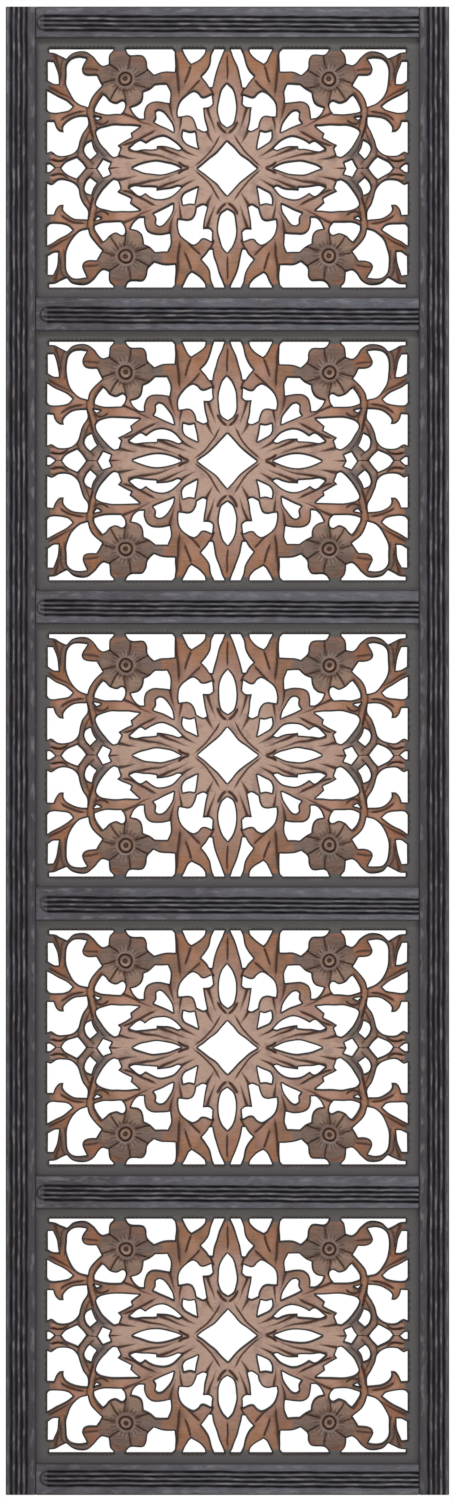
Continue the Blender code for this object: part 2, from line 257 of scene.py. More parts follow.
@dataclass
class FrameMember:
    """A stile or rail: a planed blank with reeds worked along its face and rebates behind."""

    node: str
    run: Run
    first_groove: float
    pitch: float
    inward: float
    cuts: list[tuple[Vector, Vector]]
    seed: int
    grooves: int = 4
    groove_reach: float = 0.0019
    groove_depth: float = 0.0022
    arris: float = 0.0008
    slant: float = 0.0
    sway: float = 0.00026
    rounded_start: float = 0.0
    fine_step: float = 0.0005
    worn_depth: float = 0.0033
    handled_width: float = 0.0026
    land: Point = (0.0008, 0.0024)
    shaded_start: Point = (-0.152, -0.115)
    painted_sheen_end: Point = (-0.15, 0.06)
    steps: tuple[int, ...] = (15, 15)
    low: Vector = field(init=False)
    high: Vector = field(init=False)

    def __post_init__(self) -> None:
        """Take the member's place from its CAD node."""
        self.low, self.high = node_corners(self.node)

    @property
    def across_axis(self) -> int:
        """The axis that crosses the member's face."""
        return 0 if self.run is Run.UPRIGHT else 2

    @property
    def width(self) -> float:
        """The width of the member's face."""
        return self.high[self.across_axis] - self.low[self.across_axis]

    def groove_places(self) -> list[float]:
        """Return each groove's distance from the edge that the reeds are set out from."""
        return [self.first_groove + index * self.pitch for index in range(self.grooves)]

    def from_edge(self, places: np.ndarray) -> np.ndarray:
        """Return how far each place is from the edge that the reeds are set out from."""
        values = places[:, self.across_axis]
        if self.inward > 0:
            return values - self.low[self.across_axis]
        return self.high[self.across_axis] - values

    @property
    def half_band(self) -> float:
        """Half the distance from the first groove to the last."""
        return (self.grooves - 1) * self.pitch / 2

    @property
    def band_middle(self) -> float:
        """How far the middle of the reeded band is from the edge that it is set out from."""
        return self.first_groove + self.half_band

    @property
    def round_centre(self) -> float:
        """The middle of the round end that the outer grooves of a rail share."""
        return self.low[self.run.value] + REBATE_WIDTH + self.rounded_start + self.half_band

    def line_places(self) -> list[float]:
        """Return where the face gets an edge, so that grooves and round reeds can be shaped."""
        shares = (-1.0, -0.78, -0.5, -0.22, 0.0, 0.22, 0.5, 0.78, 1.0)
        lines = [place + share * self.groove_reach for place in self.groove_places() for share in shares]
        lines += [place + self.pitch / 2 for place in self.groove_places()[:-1]]
        return sorted(lines)

    def band(self, across: np.ndarray) -> np.ndarray:
        """Return 1 in the reeded band and 0 at the member's edges."""
        beyond = np.abs(across - self.band_middle) - self.half_band
        return 1.0 - fade(beyond, self.groove_reach, self.groove_reach + self.handled_width)

    def shift(self, along: np.ndarray) -> np.ndarray:
        """Return how far the whole band of reeds is off its line."""
        start, end = self.low[self.run.value], self.high[self.run.value]
        wander = Waver(self.seed, (0.19, 0.083, 0.037), self.sway).along(along)
        return self.slant * (along - (start + end) / 2) / ((end - start) / 2) + wander

    def before_shift(self, across: np.ndarray, along: np.ndarray) -> np.ndarray:
        """Return where places of the finished face were before the band was shifted."""
        start = across
        for _ in range(4):
            start = across - self.shift(along) * self.band(start)
        return start

    def blank(self) -> bpy.types.Object:
        """Return the planed blank, with its arrises eased."""
        piece = add_block(self.node + "_reeded", self.low, self.high)
        bpy.ops.object.mode_set(mode="EDIT")
        bpy.ops.mesh.select_mode(type="EDGE")
        bpy.ops.mesh.select_all(action="SELECT")
        bpy.ops.mesh.bevel(offset=self.arris, segments=3, affect="EDGES")
        bpy.ops.object.mode_set(mode="OBJECT")
        return piece

    def score(self, piece: bpy.types.Object) -> None:
        """Score the face along every line of the reeds, and cross them with many short steps."""
        bpy.ops.object.mode_set(mode="EDIT")
        inwards = unit_along(self.across_axis) * self.inward
        edge = self.low if self.inward > 0 else self.high
        for line in self.line_places():
            score_line(edge + inwards * line, self.across_axis)
        score_line(self.low + Vector((0.0, self.worn_depth, 0.0)), 1)
        if self.rounded_start:
            self.cross_score()
        for cuts in self.steps:
            self.select_long_edges(piece)
            bpy.ops.mesh.subdivide(number_cuts=cuts)
        bpy.ops.object.mode_set(mode="OBJECT")

    def cross_score(self) -> None:
        """Score short steps across the face where the outer grooves turn into each other."""
        axis = self.run.value
        first = self.low[axis] + REBATE_WIDTH + self.fine_step / 2
        for step in range(round((self.rounded_start + self.half_band) / self.fine_step) + 3):
            score_line(unit_along(axis) * (first + step * self.fine_step), axis)

    def select_long_edges(self, piece: bpy.types.Object) -> None:
        """Select the edges that run along the member, between its end bevels."""
        shape = bmesh.from_edit_mesh(piece.data)
        axis = self.run.value
        for face in shape.faces:
            face.select = False
        for edge in shape.edges:
            lengthwise = abs(edge.verts[0].co[axis] - edge.verts[1].co[axis])
            edge.select = lengthwise > 2 * self.arris and lengthwise > 0.99 * edge.calc_length()
        shape.select_flush_mode()
        bmesh.update_edit_mesh(piece.data)

    def depth_at(self, across: np.ndarray, along: np.ndarray) -> np.ndarray:
        """Return how deep the reeds' grooves are at each place of the face, before the shift.

        Args:
            across: distances from the edge that the reeds are set out from.
            along: places along the member.

        Returns:
            The depth at each place.
        """
        depth = np.zeros(len(across))
        to_middle = np.abs(across - self.first_groove - self.half_band)
        for index, groove in enumerate(self.groove_places()):
            drift = Waver(self.seed + index, (0.071, 0.031, 0.017), 0.0002).along(along)
            dip = 1.0 + Waver(self.seed + 40 + index, (0.06, 0.017), 0.24).along(along)
            gap = np.abs(across - groove - drift)
            if self.rounded_start:
                turning = along < self.round_centre
                if index in (0, self.grooves - 1):
                    ring = np.hypot(to_middle, along - self.round_centre) - self.half_band
                    gap = np.where(turning, np.abs(ring), gap)
                else:
                    past_end = np.maximum(self.round_centre - self.half_band * 0.45 - along, 0.0)
                    gap = np.hypot(gap, past_end)
            share = np.clip(gap / self.groove_reach, 0.0, 1.0)
            if self.rounded_start:
                dip = dip * (1.0 - 0.5 * turning)
            depth = np.maximum(depth, self.groove_depth * dip * (1.0 - share) ** 1.15)
        return depth

    def work_reeds(self, piece: bpy.types.Object) -> None:
        """Sink the grooves, round the reeds between them and let the tool wander a little."""
        places = read_places(piece.data)
        on_face = places[:, 1] < self.low.y + self.arris * 0.2
        across, along = self.from_edge(places), places[:, self.run.value].copy()
        tremor = Waver(self.seed + 90, (0.034, 0.013, 0.0071), 0.00012)
        lift = np.abs(tremor.over(places[:, 0], places[:, 2]))
        sunk = self.depth_at(across, along) + lift
        places[on_face, 1] += sunk[on_face]
        moved = self.inward * self.shift(along) * self.band(across)
        places[on_face, self.across_axis] += moved[on_face]
        write_places(piece.data, np.clip(places, self.low, self.high))

    def mark_wear(self, piece: bpy.types.Object) -> None:
        """Store where the grooves, the reeds and the edges are, for the finish, which wears the arrises
        lighter and paints shadow right at the edges.
        """
        places = read_places(piece.data)
        in_front = places[:, 1] < self.low.y + self.worn_depth - 0.0002
        along = places[:, self.run.value]
        across = self.before_shift(self.from_edge(places), along)
        hollow = np.clip(self.depth_at(across, along) / self.groove_depth, 0.0, 1.0)
        to_edge = np.minimum(across, self.width - across)
        reed = 1.0 - fade(np.abs(across - self.band_middle), self.half_band - 0.0004, self.half_band)
        # The grooves' depth, which the finish paints as shade.
        paint(piece.data, "hollow", hollow * in_front)
        # Towards a rail's left end the reeds' rubbed lightening fades out: painted shade.
        if self.run is Run.LEVEL:
            reed = reed * (0.3 + 0.7 * fade(along, *self.shaded_start))
        paint(piece.data, "reed", reed * (1.0 - hollow) * in_front)
        # Edge: worn lighter on the arris, and a painted shadow at the very edge, in the finish.
        paint(piece.data, "edge", (1.0 - np.clip(to_edge / self.handled_width, 0.0, 1.0)) * in_front)
        past_reeds = across - self.first_groove - 2 * self.half_band
        paint(piece.data, "land", fade(past_reeds, *self.land) * (self.run is Run.UPRIGHT))
        # Painted sheen: a bluish sheen on the rails that grows towards their right ends.
        paint(piece.data, "painted_sheen_end", fade(places[:, 0], *self.painted_sheen_end) * (self.run is Run.LEVEL))

    def build(self, material: bpy.types.Material) -> None:
        """Make the member and let it stand for its CAD node.

        Args:
            material: its finish.
        """
        piece = self.blank()
        self.score(piece)
        self.work_reeds(piece)
        for low, high in self.cuts:
            cut_away(piece, low, high)
        self.mark_wear(piece)
        make_active(piece)
        bpy.ops.object.shade_smooth_by_angle(angle=FRAME_SHARP)
        hand_over(piece, self.node, material)


@dataclass
class ReededFrame:
    """The two stiles and all the rails."""

    stile_groove: float = 0.0044
    stile_pitch: float = 0.0041
    rail_pitch: float = 0.0038
    reed_grooves: int = 4
    rail_drop: float = 0.0015
    rail_slant: float = 0.0008
    beyond: float = 0.003
    depth: float = field(init=False)
    opening: float = field(init=False)

    def __post_init__(self) -> None:
        """Read the frame's depth and the clear width between the stiles."""
        low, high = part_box("stile_left")
        self.depth = high[1] - low[1]
        self.opening = -2 * high[0]

    @property
    def rebate_face(self) -> float:
        """The plane that the boards lie against."""
        return LIP_THICKNESS - self.depth

    def stile(self, side: int) -> FrameMember:
        """Return a stile: side is -1 on the left and 1 on the right."""
        name = "stile_left" if side < 0 else "stile_right"
        low, high = node_corners(name)
        inner = high.x if side < 0 else low.x
        across = sorted((inner - side * self.beyond, inner + side * REBATE_WIDTH))
        up = (low.z - self.beyond, high.z + self.beyond)
        cut = box_corners(across, (self.rebate_face, self.beyond), up)
        return FrameMember(name, Run.UPRIGHT, self.stile_groove, self.stile_pitch, -side, [cut], 10 + side)

    def rail(self, number: int) -> FrameMember:
        """Return a rail, counted from the top."""
        name = f"rail_{number}"
        low, high = node_corners(name)
        left, right = low.x - self.beyond, high.x + self.beyond
        under, over = low.z - self.beyond, high.z + self.beyond
        behind = (self.rebate_face, self.beyond)
        in_front = (low.y - self.beyond, self.rebate_face + CLEARANCE)
        shoulder = self.opening / 2 - CLEARANCE
        cuts = [
            box_corners(sorted((side * shoulder, side * right)), in_front, (under, over))
            for side in (-1, 1)
        ]
        if number > 1:
            cuts.append(box_corners((left, right), behind, (high.z - REBATE_WIDTH, over)))
        if number <= BOARD_COUNT:
            cuts.append(box_corners((left, right), behind, (under, low.z + REBATE_WIDTH)))
        drop = self.rail_drop if number <= BOARD_COUNT else 0.0
        first = (high.z - low.z - (self.reed_grooves - 1) * self.rail_pitch) / 2 + drop
        round_start = 0.0034 - 0.0028 * (number % 2)
        return FrameMember(
            name, Run.LEVEL, first, self.rail_pitch, -1, cuts, 100 * number, groove_reach=0.00175,
            slant=self.rail_slant, rounded_start=round_start, steps=(100,)
        )

    def build(self, upright: bpy.types.Material, level: bpy.types.Material) -> None:
        """Make every member.

        Args:
            upright: the finish with its grain up the stiles.
            level: the finish with its grain along the rails.
        """
        for side in (-1, 1):
            self.stile(side).build(upright)
        for number in range(1, BOARD_COUNT + 2):
            self.rail(number).build(level)


# Carving design, on a grid from the window's centre to its edges, for one quarter

@dataclass(frozen=True)
class Groove:
    """One groove of the carving."""

    points: tuple[Point, ...]
    cut: Cut = Cut.GOUGE
    reach: float = 2.1
    depth: float = 0.0015
    lean: int = 0


CUT = "cut"
WINDOW_GRID = (180.0, 119.5)
ROSETTE_GRID = (190.0, 95.0)
OUTERMOST_REACH = 2.2
OPENINGS = {
    "centre_diamond": [(0, 27, CUT), (4.7, 21.9), (11.3, 14.4), (18.8, 8.4), (29.8, 0, CUT), (0, 0, CUT)],
    "spire_eye": [(0, 84.4, CUT), (4.7, 78.6), (7.6, 70), (8.6, 61), (7.9, 52), (5.5, 45), (0, 40.9, CUT)],
    "spire_gap": [(13, 119.5, CUT), (15.5, 113.5), (17.5, 104), (21.3, 96.9), (25.8, 91.5, CUT), (21, 86),
                  (18, 81.2, CUT), (15.1, 81.2, CUT), (12.6, 93), (8.6, 105.5), (3, 119.5, CUT)],
    "tulip_notch": [(44.9, 119.5, CUT), (22.1, 119.5, CUT), (23, 115), (28, 109.5), (36, 104.6, CUT),
                    (39, 107.5)],
    "tulip_bay": [(48.6, 51.8, CUT), (49, 58), (47, 66), (42, 72), (34.5, 76.4), (30, 74.5), (26.5, 70.8),
                  (22.5, 70.3), (15.8, 73, CUT), (15.1, 63.7, CUT), (18, 61.2), (24.6, 60.8, CUT),
                  (22.5, 47.1), (20.6, 38.6, CUT), (24, 37), (30.4, 39.9, CUT), (32, 46.3), (35, 51.3),
                  (39.5, 52.9), (44.5, 52.2)],
    "bud_hole": [(44.1, 36.9, CUT), (44.5, 30.5), (42, 25.8), (36.2, 22.4), (30, 19.4, CUT), (31.5, 28),
                 (33, 36.2, CUT), (38, 35.4)],
    "hook_eye": [(73.5, 45.5, CUT), (71, 49.6), (71.3, 55.5, CUT), (68.5, 57.5), (64.4, 56.3), (58.6, 49.6),
                 (55.3, 43.8), (54, 36.4, CUT), (62.7, 40.5)],
    "arc_slot": [(97.6, 19.8, CUT), (87.6, 27.4), (81.8, 24.7, CUT), (76, 28.5), (70, 30.8), (62.7, 31),
                 (54.4, 27.6), (46.1, 19.4, CUT), (49.5, 18.1), (55, 20.2), (61.1, 21.8), (70.6, 22.4, CUT),
                 (71, 19.4, CUT), (83.5, 18.6), (92, 17.5)],
    "leaf_eye": [(46, 0, CUT), (52, 2.6), (58, 4.7), (64, 6.1), (70.4, 6.6), (76.5, 6.1), (82.7, 4.7),
                 (88.7, 2.6), (94.7, 0, CUT)],
    "flower_tulip_bay": [(101.5, 119.5, CUT), (55.3, 119.5, CUT), (52.6, 116), (52.6, 97, CUT), (65.2, 96.5),
                         (73.5, 93.8, CUT), (79.7, 100.2), (80.8, 108), (84.5, 112.8), (96, 113.2),
                         (99.2, 115.1)],
    "flower_hook_bay": [(96.3, 60.6, CUT), (90, 62.3), (86, 65.5), (84.2, 70), (83.6, 76, CUT), (77.5, 79),
                        (71.9, 83.6, CUT), (60.2, 83.8, CUT), (57, 76), (57.6, 65.4, CUT), (66.9, 66.8),
                        (75.5, 66.2), (81, 62.5), (83.3, 56), (83.5, 49.6, CUT), (88.5, 50.2), (93.5, 54.8)],
    "leaf_bay": [(131.2, 36.4), (127.9, 39.7), (121, 42), (113.8, 43), (88.1, 42.2, CUT), (97.2, 34.7, CUT),
                 (95.9, 30.5, CUT), (109.6, 23.1, CUT), (106.7, 19.8, CUT), (109.6, 12.3, CUT), (113.8, 11.5),
                 (122.9, 19.8), (127.9, 27.2), (130.8, 33)],
    "below_flower": [(124.5, 73, CUT), (128.5, 68), (132, 61.2), (132.4, 57.1, CUT), (127.9, 55.4),
                     (121.2, 54.2), (106.3, 54.2, CUT), (103, 58.5), (102.2, 64.5), (105, 67), (111.3, 64.5),
                     (117.9, 66.8), (122, 71.2)],
    "stem_slit": [(133.2, 51.7, CUT), (126.6, 50.5, CUT), (130.3, 48.4, CUT)],
    "star": [(129.5, 0, CUT), (124.1, 8.6, CUT), (116.7, 5.7, CUT), (119.2, 0, CUT)],
    "teardrop": [(136.2, 27, CUT), (141, 24.2), (142.8, 19.5), (141, 13.6), (137.4, 9.5, CUT),
                 (130.8, 15.3, CUT), (134, 20.5)],
    "top_corner": [(178, 119.5, CUT), (114, 119.5, CUT), (114, 118), (117.5, 113.5), (118.7, 104, CUT),
                   (124.5, 102.5), (128.7, 105.5), (133, 111), (139.5, 116), (146, 117), (154.5, 115),
                   (160.5, 109.7, CUT), (167, 112.8), (172, 115.3), (178, 116, CUT)],
    "arch": [(159.5, 104), (155, 109), (148, 110.4), (140.5, 109.5, CUT), (145.3, 99.8), (144, 95),
             (139.5, 92.6), (131, 92.3, CUT), (125.2, 82.6, CUT), (134, 74), (137.8, 67.9),
             (139.5, 61.2, CUT), (148, 64), (155, 71.5), (160, 83), (160.7, 95)],
    "side_slot": [(179.5, 106.8, CUT), (174, 106.8, CUT), (170.3, 97), (168.5, 84.2, CUT), (173.5, 84.4),
                  (179.3, 87.8, CUT)],
    "side_wedge": [(180, 77.5, CUT), (171.8, 72.8), (161, 67), (154.6, 61.8, CUT), (159, 57.8),
                   (169.3, 55.8), (177.5, 56.2), (180, 59, CUT)],
    "side_bay": [(180, 46.5, CUT), (173.9, 46.6, CUT), (171.8, 41), (168, 36.9), (163.5, 36.4, CUT),
                 (163.8, 41.3), (160.5, 46), (154, 50), (147, 51.3), (140.3, 51.5, CUT), (139.9, 43),
                 (144.4, 35.5), (147.3, 28.1), (149.8, 19.8), (154.5, 14.6), (161, 12.4), (169.3, 12.8),
                 (175.9, 16.6), (180, 15.3, CUT)],
    "side_diamond": [(165.4, 0, CUT), (161, 5.3), (150.2, 10.6, CUT), (145.5, 5.5), (141.5, 0, CUT)],
    "edge_spot": [(180, 3.8, CUT), (177.5, 3.8), (172.6, 0, CUT), (180, 0, CUT)],
}
GROOVES = (
    Groove(((0, 115), (0, 86)), Cut.LINE, 1.3, 0.0008),
    Groove(((20.2, 61), (18.1, 54.3), (14.8, 45), (11.3, 35)), Cut.GOUGE, 2.4, 0.0017, -1),
    Groove(((21.3, 38.5), (17, 30), (12.4, 22.5)), Cut.GOUGE, 2.6, 0.0016, -1),
    Groove(((5.5, 35.7), (9.2, 29), (13.6, 21.6), (19.9, 13.4), (27.4, 6.6), (35.5, 0)),
           Cut.LINE, 1.2, 0.0006),
    Groove(((10.8, 47.5), (6.2, 39.5), (0, 33.8)), Cut.LINE, 2.2, 0.0013),
    Groove(((50, 6.5), (44.5, 2.6), (37, 0)), Cut.LINE, 2.0, 0.0012),
    Groove(((18, 81.4), (15.4, 77), (13.2, 71)), Cut.LINE, 1.4, 0.0012),
    Groove(((25.8, 89), (34, 80.5), (42, 73)), Cut.LINE, 1.5, 0.0011, -1),
    Groove(((36, 104), (38.5, 96), (43, 83)), Cut.LINE, 1.6, 0.0012, 1),
    Groove(((51.1, 117), (50, 100), (47.5, 71)), Cut.LINE, 1.8, 0.0014, -1),
    Groove(((71, 22), (60, 17), (48, 12), (37.5, 8)), Cut.GOUGE, 3.0, 0.0020, 1),
    Groove(((46.6, 19.5), (40, 15.5), (30, 10.5)), Cut.GOUGE, 2.4, 0.0016, 1),
    Groove(((97.2, 18.2), (86, 15), (64.6, 11.2), (42, 1.8)), Cut.GOUGE, 2.8, 0.0018, 1),
    Groove(((108, 11.8), (98, 9.8), (89.5, 8.4)), Cut.GOUGE, 2.4, 0.0015, 1),
    Groove(((116, 0), (105, 0)), Cut.GOUGE, 1.4, 0.001),
    Groove(((69.4, 38.8), (85, 30.5), (97, 24.5), (108, 21.6)), Cut.LINE, 1.8, 0.0014, 1),
    Groove(((104, 54.8), (92, 49.5), (85.1, 45.5), (71, 39.7)), Cut.GOUGE, 2.2, 0.0014, 1),
    Groove(((57.6, 65), (55.3, 53.8), (51.1, 43)), Cut.GOUGE, 2.2, 0.0014, -1),
    Groove(((46.1, 50), (47.5, 41), (48.6, 32.2)), Cut.GOUGE, 1.8, 0.0012, 1),
    Groove(((133, 47.5), (128, 43.6), (121, 45.5), (118, 49)), Cut.LINE, 1.5, 0.0011),
    Groove(((179, 81), (169.3, 76.2), (156, 68.7), (150, 64.5)), Cut.GOUGE, 2.4, 0.0015, -1),
    Groove(((172, 113), (168, 98.5), (165, 85)), Cut.GOUGE, 2.2, 0.0014, 1),
    Groove(((141, 56.5), (153.6, 54.4), (162.7, 50.4), (168, 45.5)), Cut.LINE, 1.8, 0.0013, -1),
    Groove(((178, 8.5), (166.8, 6.8), (157, 11.5)), Cut.LINE, 1.6, 0.0012, 1),
    Groove(((139.6, 53), (136.6, 38), (133.4, 27)), Cut.LINE, 1.6, 0.0014),
    Groove(((146, 99), (136, 98.5), (127, 97)), Cut.LINE, 1.5, 0.0007, 1),
)
STEMS = (
    (((125, 81.5), (132, 72.8), (136.2, 63.7), (136.6, 55.4), (136, 47.1), (134, 38.8), (131.5, 30.5),
      (126.2, 19.8), (118, 11)), 3.2),
    (((140.5, 40), (145.3, 27.5), (146.3, 20.2), (144.6, 12), (139.5, 5.3), (134.5, 0)), 3.4),
    (((166, 80), (163.8, 95), (162, 106), (154, 112.5), (144, 113.6)), 2.6),
    (((179, 11), (168, 9.8), (158, 10.5), (150, 14.6)), 2.6),
)
ASHEN_SPOTS = ((126, 20, 18, 1.0), (71, 90, 9, 0.8), (84, 91, 8, 0.35), (45, 30, 9, 0.4))
DUSKY_SPOTS = ((153, 113, 22, 1.0), (165, 98, 15, 0.85), (177, 113, 12, 0.8), (62, 62, 15, 0.3),
               (52, 84, 15, 0.35), (130, 47, 7, 0.6), (147, 24, 15, 0.8), (140, 6, 12, 0.65),
               (106.5, 108, 10, 0.5), (116, 102, 11, 0.4), (121.5, 94, 9, 0.2))
ROSY_SPOTS = ((98, 50, 18, 0.6), (149, 61, 11, 0.5), (166, 50, 8, 0.4), (38, 92, 12, 0.25))
FLOWER_CENTRE = (101.6, 88.5)
FLOWER_REACH = 28.5
PETAL_CREASES = (45, 105, 160, 205, 273, 311, 353)
FLOWER_RINGS = (0.8, 1.6, 2.6, 3.7, 4.8, 5.6, 6.4, 7.3, 10.4, 11.8)
ORANGE_PETALS = ((126, 1.0, 22), (72, 0.35, 20), (333, 0.5, 18))
BRIGHT_PETALS = ((290, 0.85, 26), (325, 0.6, 18), (242, 0.5, 24), (0, 0.3, 20))

# Spacing of the points along outlines, grooves and other lines, on the same grid
OUTLINE_SPACING = 0.85
GROOVE_SPACING = 0.8
LINE_SPACING = 1.0
GROOVE_FLANK = 0.62

# How near zero counts as on a mirror line, and how far a line there is pushed past it, in metres
ON_MIRROR = 1e-9
PAST_MIRROR = 0.004


def smooth_points(points: Sequence[tuple], spacing: float, closed: bool) -> np.ndarray:
    """Return evenly spaced points on the curve through some points, sharp at those marked CUT.

    Args:
        points: the curve's points on the grid.
        spacing: the distance between the points returned.
        closed: whether the curve comes back to its first point.

    Returns:
        The points, in rows. An open curve has both its ends.
    """
    places = np.array([point[:2] for point in points], dtype=float)
    sharp = [CUT in point for point in points]
    count = len(points)
    pieces = []
    for here in range(count if closed else count - 1):
        after = (here + 1) % count
        start, end = places[here], places[after]
        starts_sharp = sharp[here] or (not closed and here == 0)
        ends_sharp = sharp[after] or (not closed and after == count - 1)
        before = start if starts_sharp else places[here - 1]
        beyond = end if ends_sharp else places[(after + 1) % count]
        length = np.linalg.norm(end - start)
        leave = (end - before) / (np.linalg.norm(start - before) + length) * length
        arrive = (beyond - start) / (np.linalg.norm(beyond - end) + length) * length
        steps = max(1, round(length / spacing))
        t = (np.arange(steps) / steps)[:, None]
        pieces.append(
            (2 * t**3 - 3 * t**2 + 1) * start + (t**3 - 2 * t**2 + t) * leave
            + (3 * t**2 - 2 * t**3) * end + (t**3 - t**2) * arrive
        )
    if not closed:
        pieces.append(places[-1:])
    return np.concatenate(pieces)


def beside(steps: np.ndarray) -> np.ndarray:
    """Return the direction to the left of each step, one long."""
    return np.column_stack([-steps[:, 1], steps[:, 0]]) / np.linalg.norm(steps, axis=1)[:, None]


def degrees_apart(angle: np.ndarray, other: object) -> np.ndarray:
    """Return how many degrees lie between directions."""
    return np.abs((angle - other + 180) % 360 - 180)


def around_flower(grid: np.ndarray) -> tuple[np.ndarray, np.ndarray, np.ndarray]:
    """Return how far places are from the flower's middle, how much above it, and in which direction."""
    offset = grid - np.array(FLOWER_CENTRE)
    radius = np.hypot(offset[:, 0], offset[:, 1])
    upward = offset[:, 1] / np.maximum(radius, 0.1)
    return radius, upward, np.degrees(np.arctan2(offset[:, 1], offset[:, 0]))


def nearest_on_line(points: np.ndarray, line: np.ndarray) -> tuple[np.ndarray, np.ndarray]:
    """Measure points against an open line.

    Args:
        points: places on the plane, in rows.
        line: the line's points, in rows.

    Returns:
        Each point's distance, with its sign showing the side, and how far along the line it is.
    """
    best = np.full(len(points), np.inf)
    side = np.ones(len(points))
    travel = np.zeros(len(points))
    walked = 0.0
    total = np.linalg.norm(np.diff(line, axis=0), axis=1).sum()
    for start, end in zip(line[:-1], line[1:]):
        step = end - start
        length = np.linalg.norm(step)
        offset = points - start
        share = np.clip(offset @ step / length**2, 0.0, 1.0)
        gap = np.linalg.norm(offset - share[:, None] * step, axis=1)
        closer = gap < best
        best = np.where(closer, gap, best)
        side = np.where(closer, np.sign(step[0] * offset[:, 1] - step[1] * offset[:, 0]), side)
        travel = np.where(closer, (walked + share * length) / total, travel)
        walked += length
    return best * side, travel


def distance_to_outlines(points: np.ndarray, outlines: Sequence[np.ndarray]) -> np.ndarray:
    """Return each point's distance from the nearest edge of the openings."""
    starts = np.concatenate(outlines)
    ends = np.concatenate([np.roll(outline, -1, axis=0) for outline in outlines])
    steps = ends - starts
    squares = (steps**2).sum(axis=1)
    nearest = np.empty(len(points))
    for first in range(0, len(points), CHUNK):
        some = points[first:first + CHUNK]
        offset = some[:, None, :] - starts[None, :, :]
        share = np.clip((offset * steps).sum(axis=2) / squares, 0.0, 1.0)
        gap = offset - share[:, :, None] * steps
        nearest[first:first + CHUNK] = np.sqrt((gap**2).sum(axis=2).min(axis=1))
    return nearest


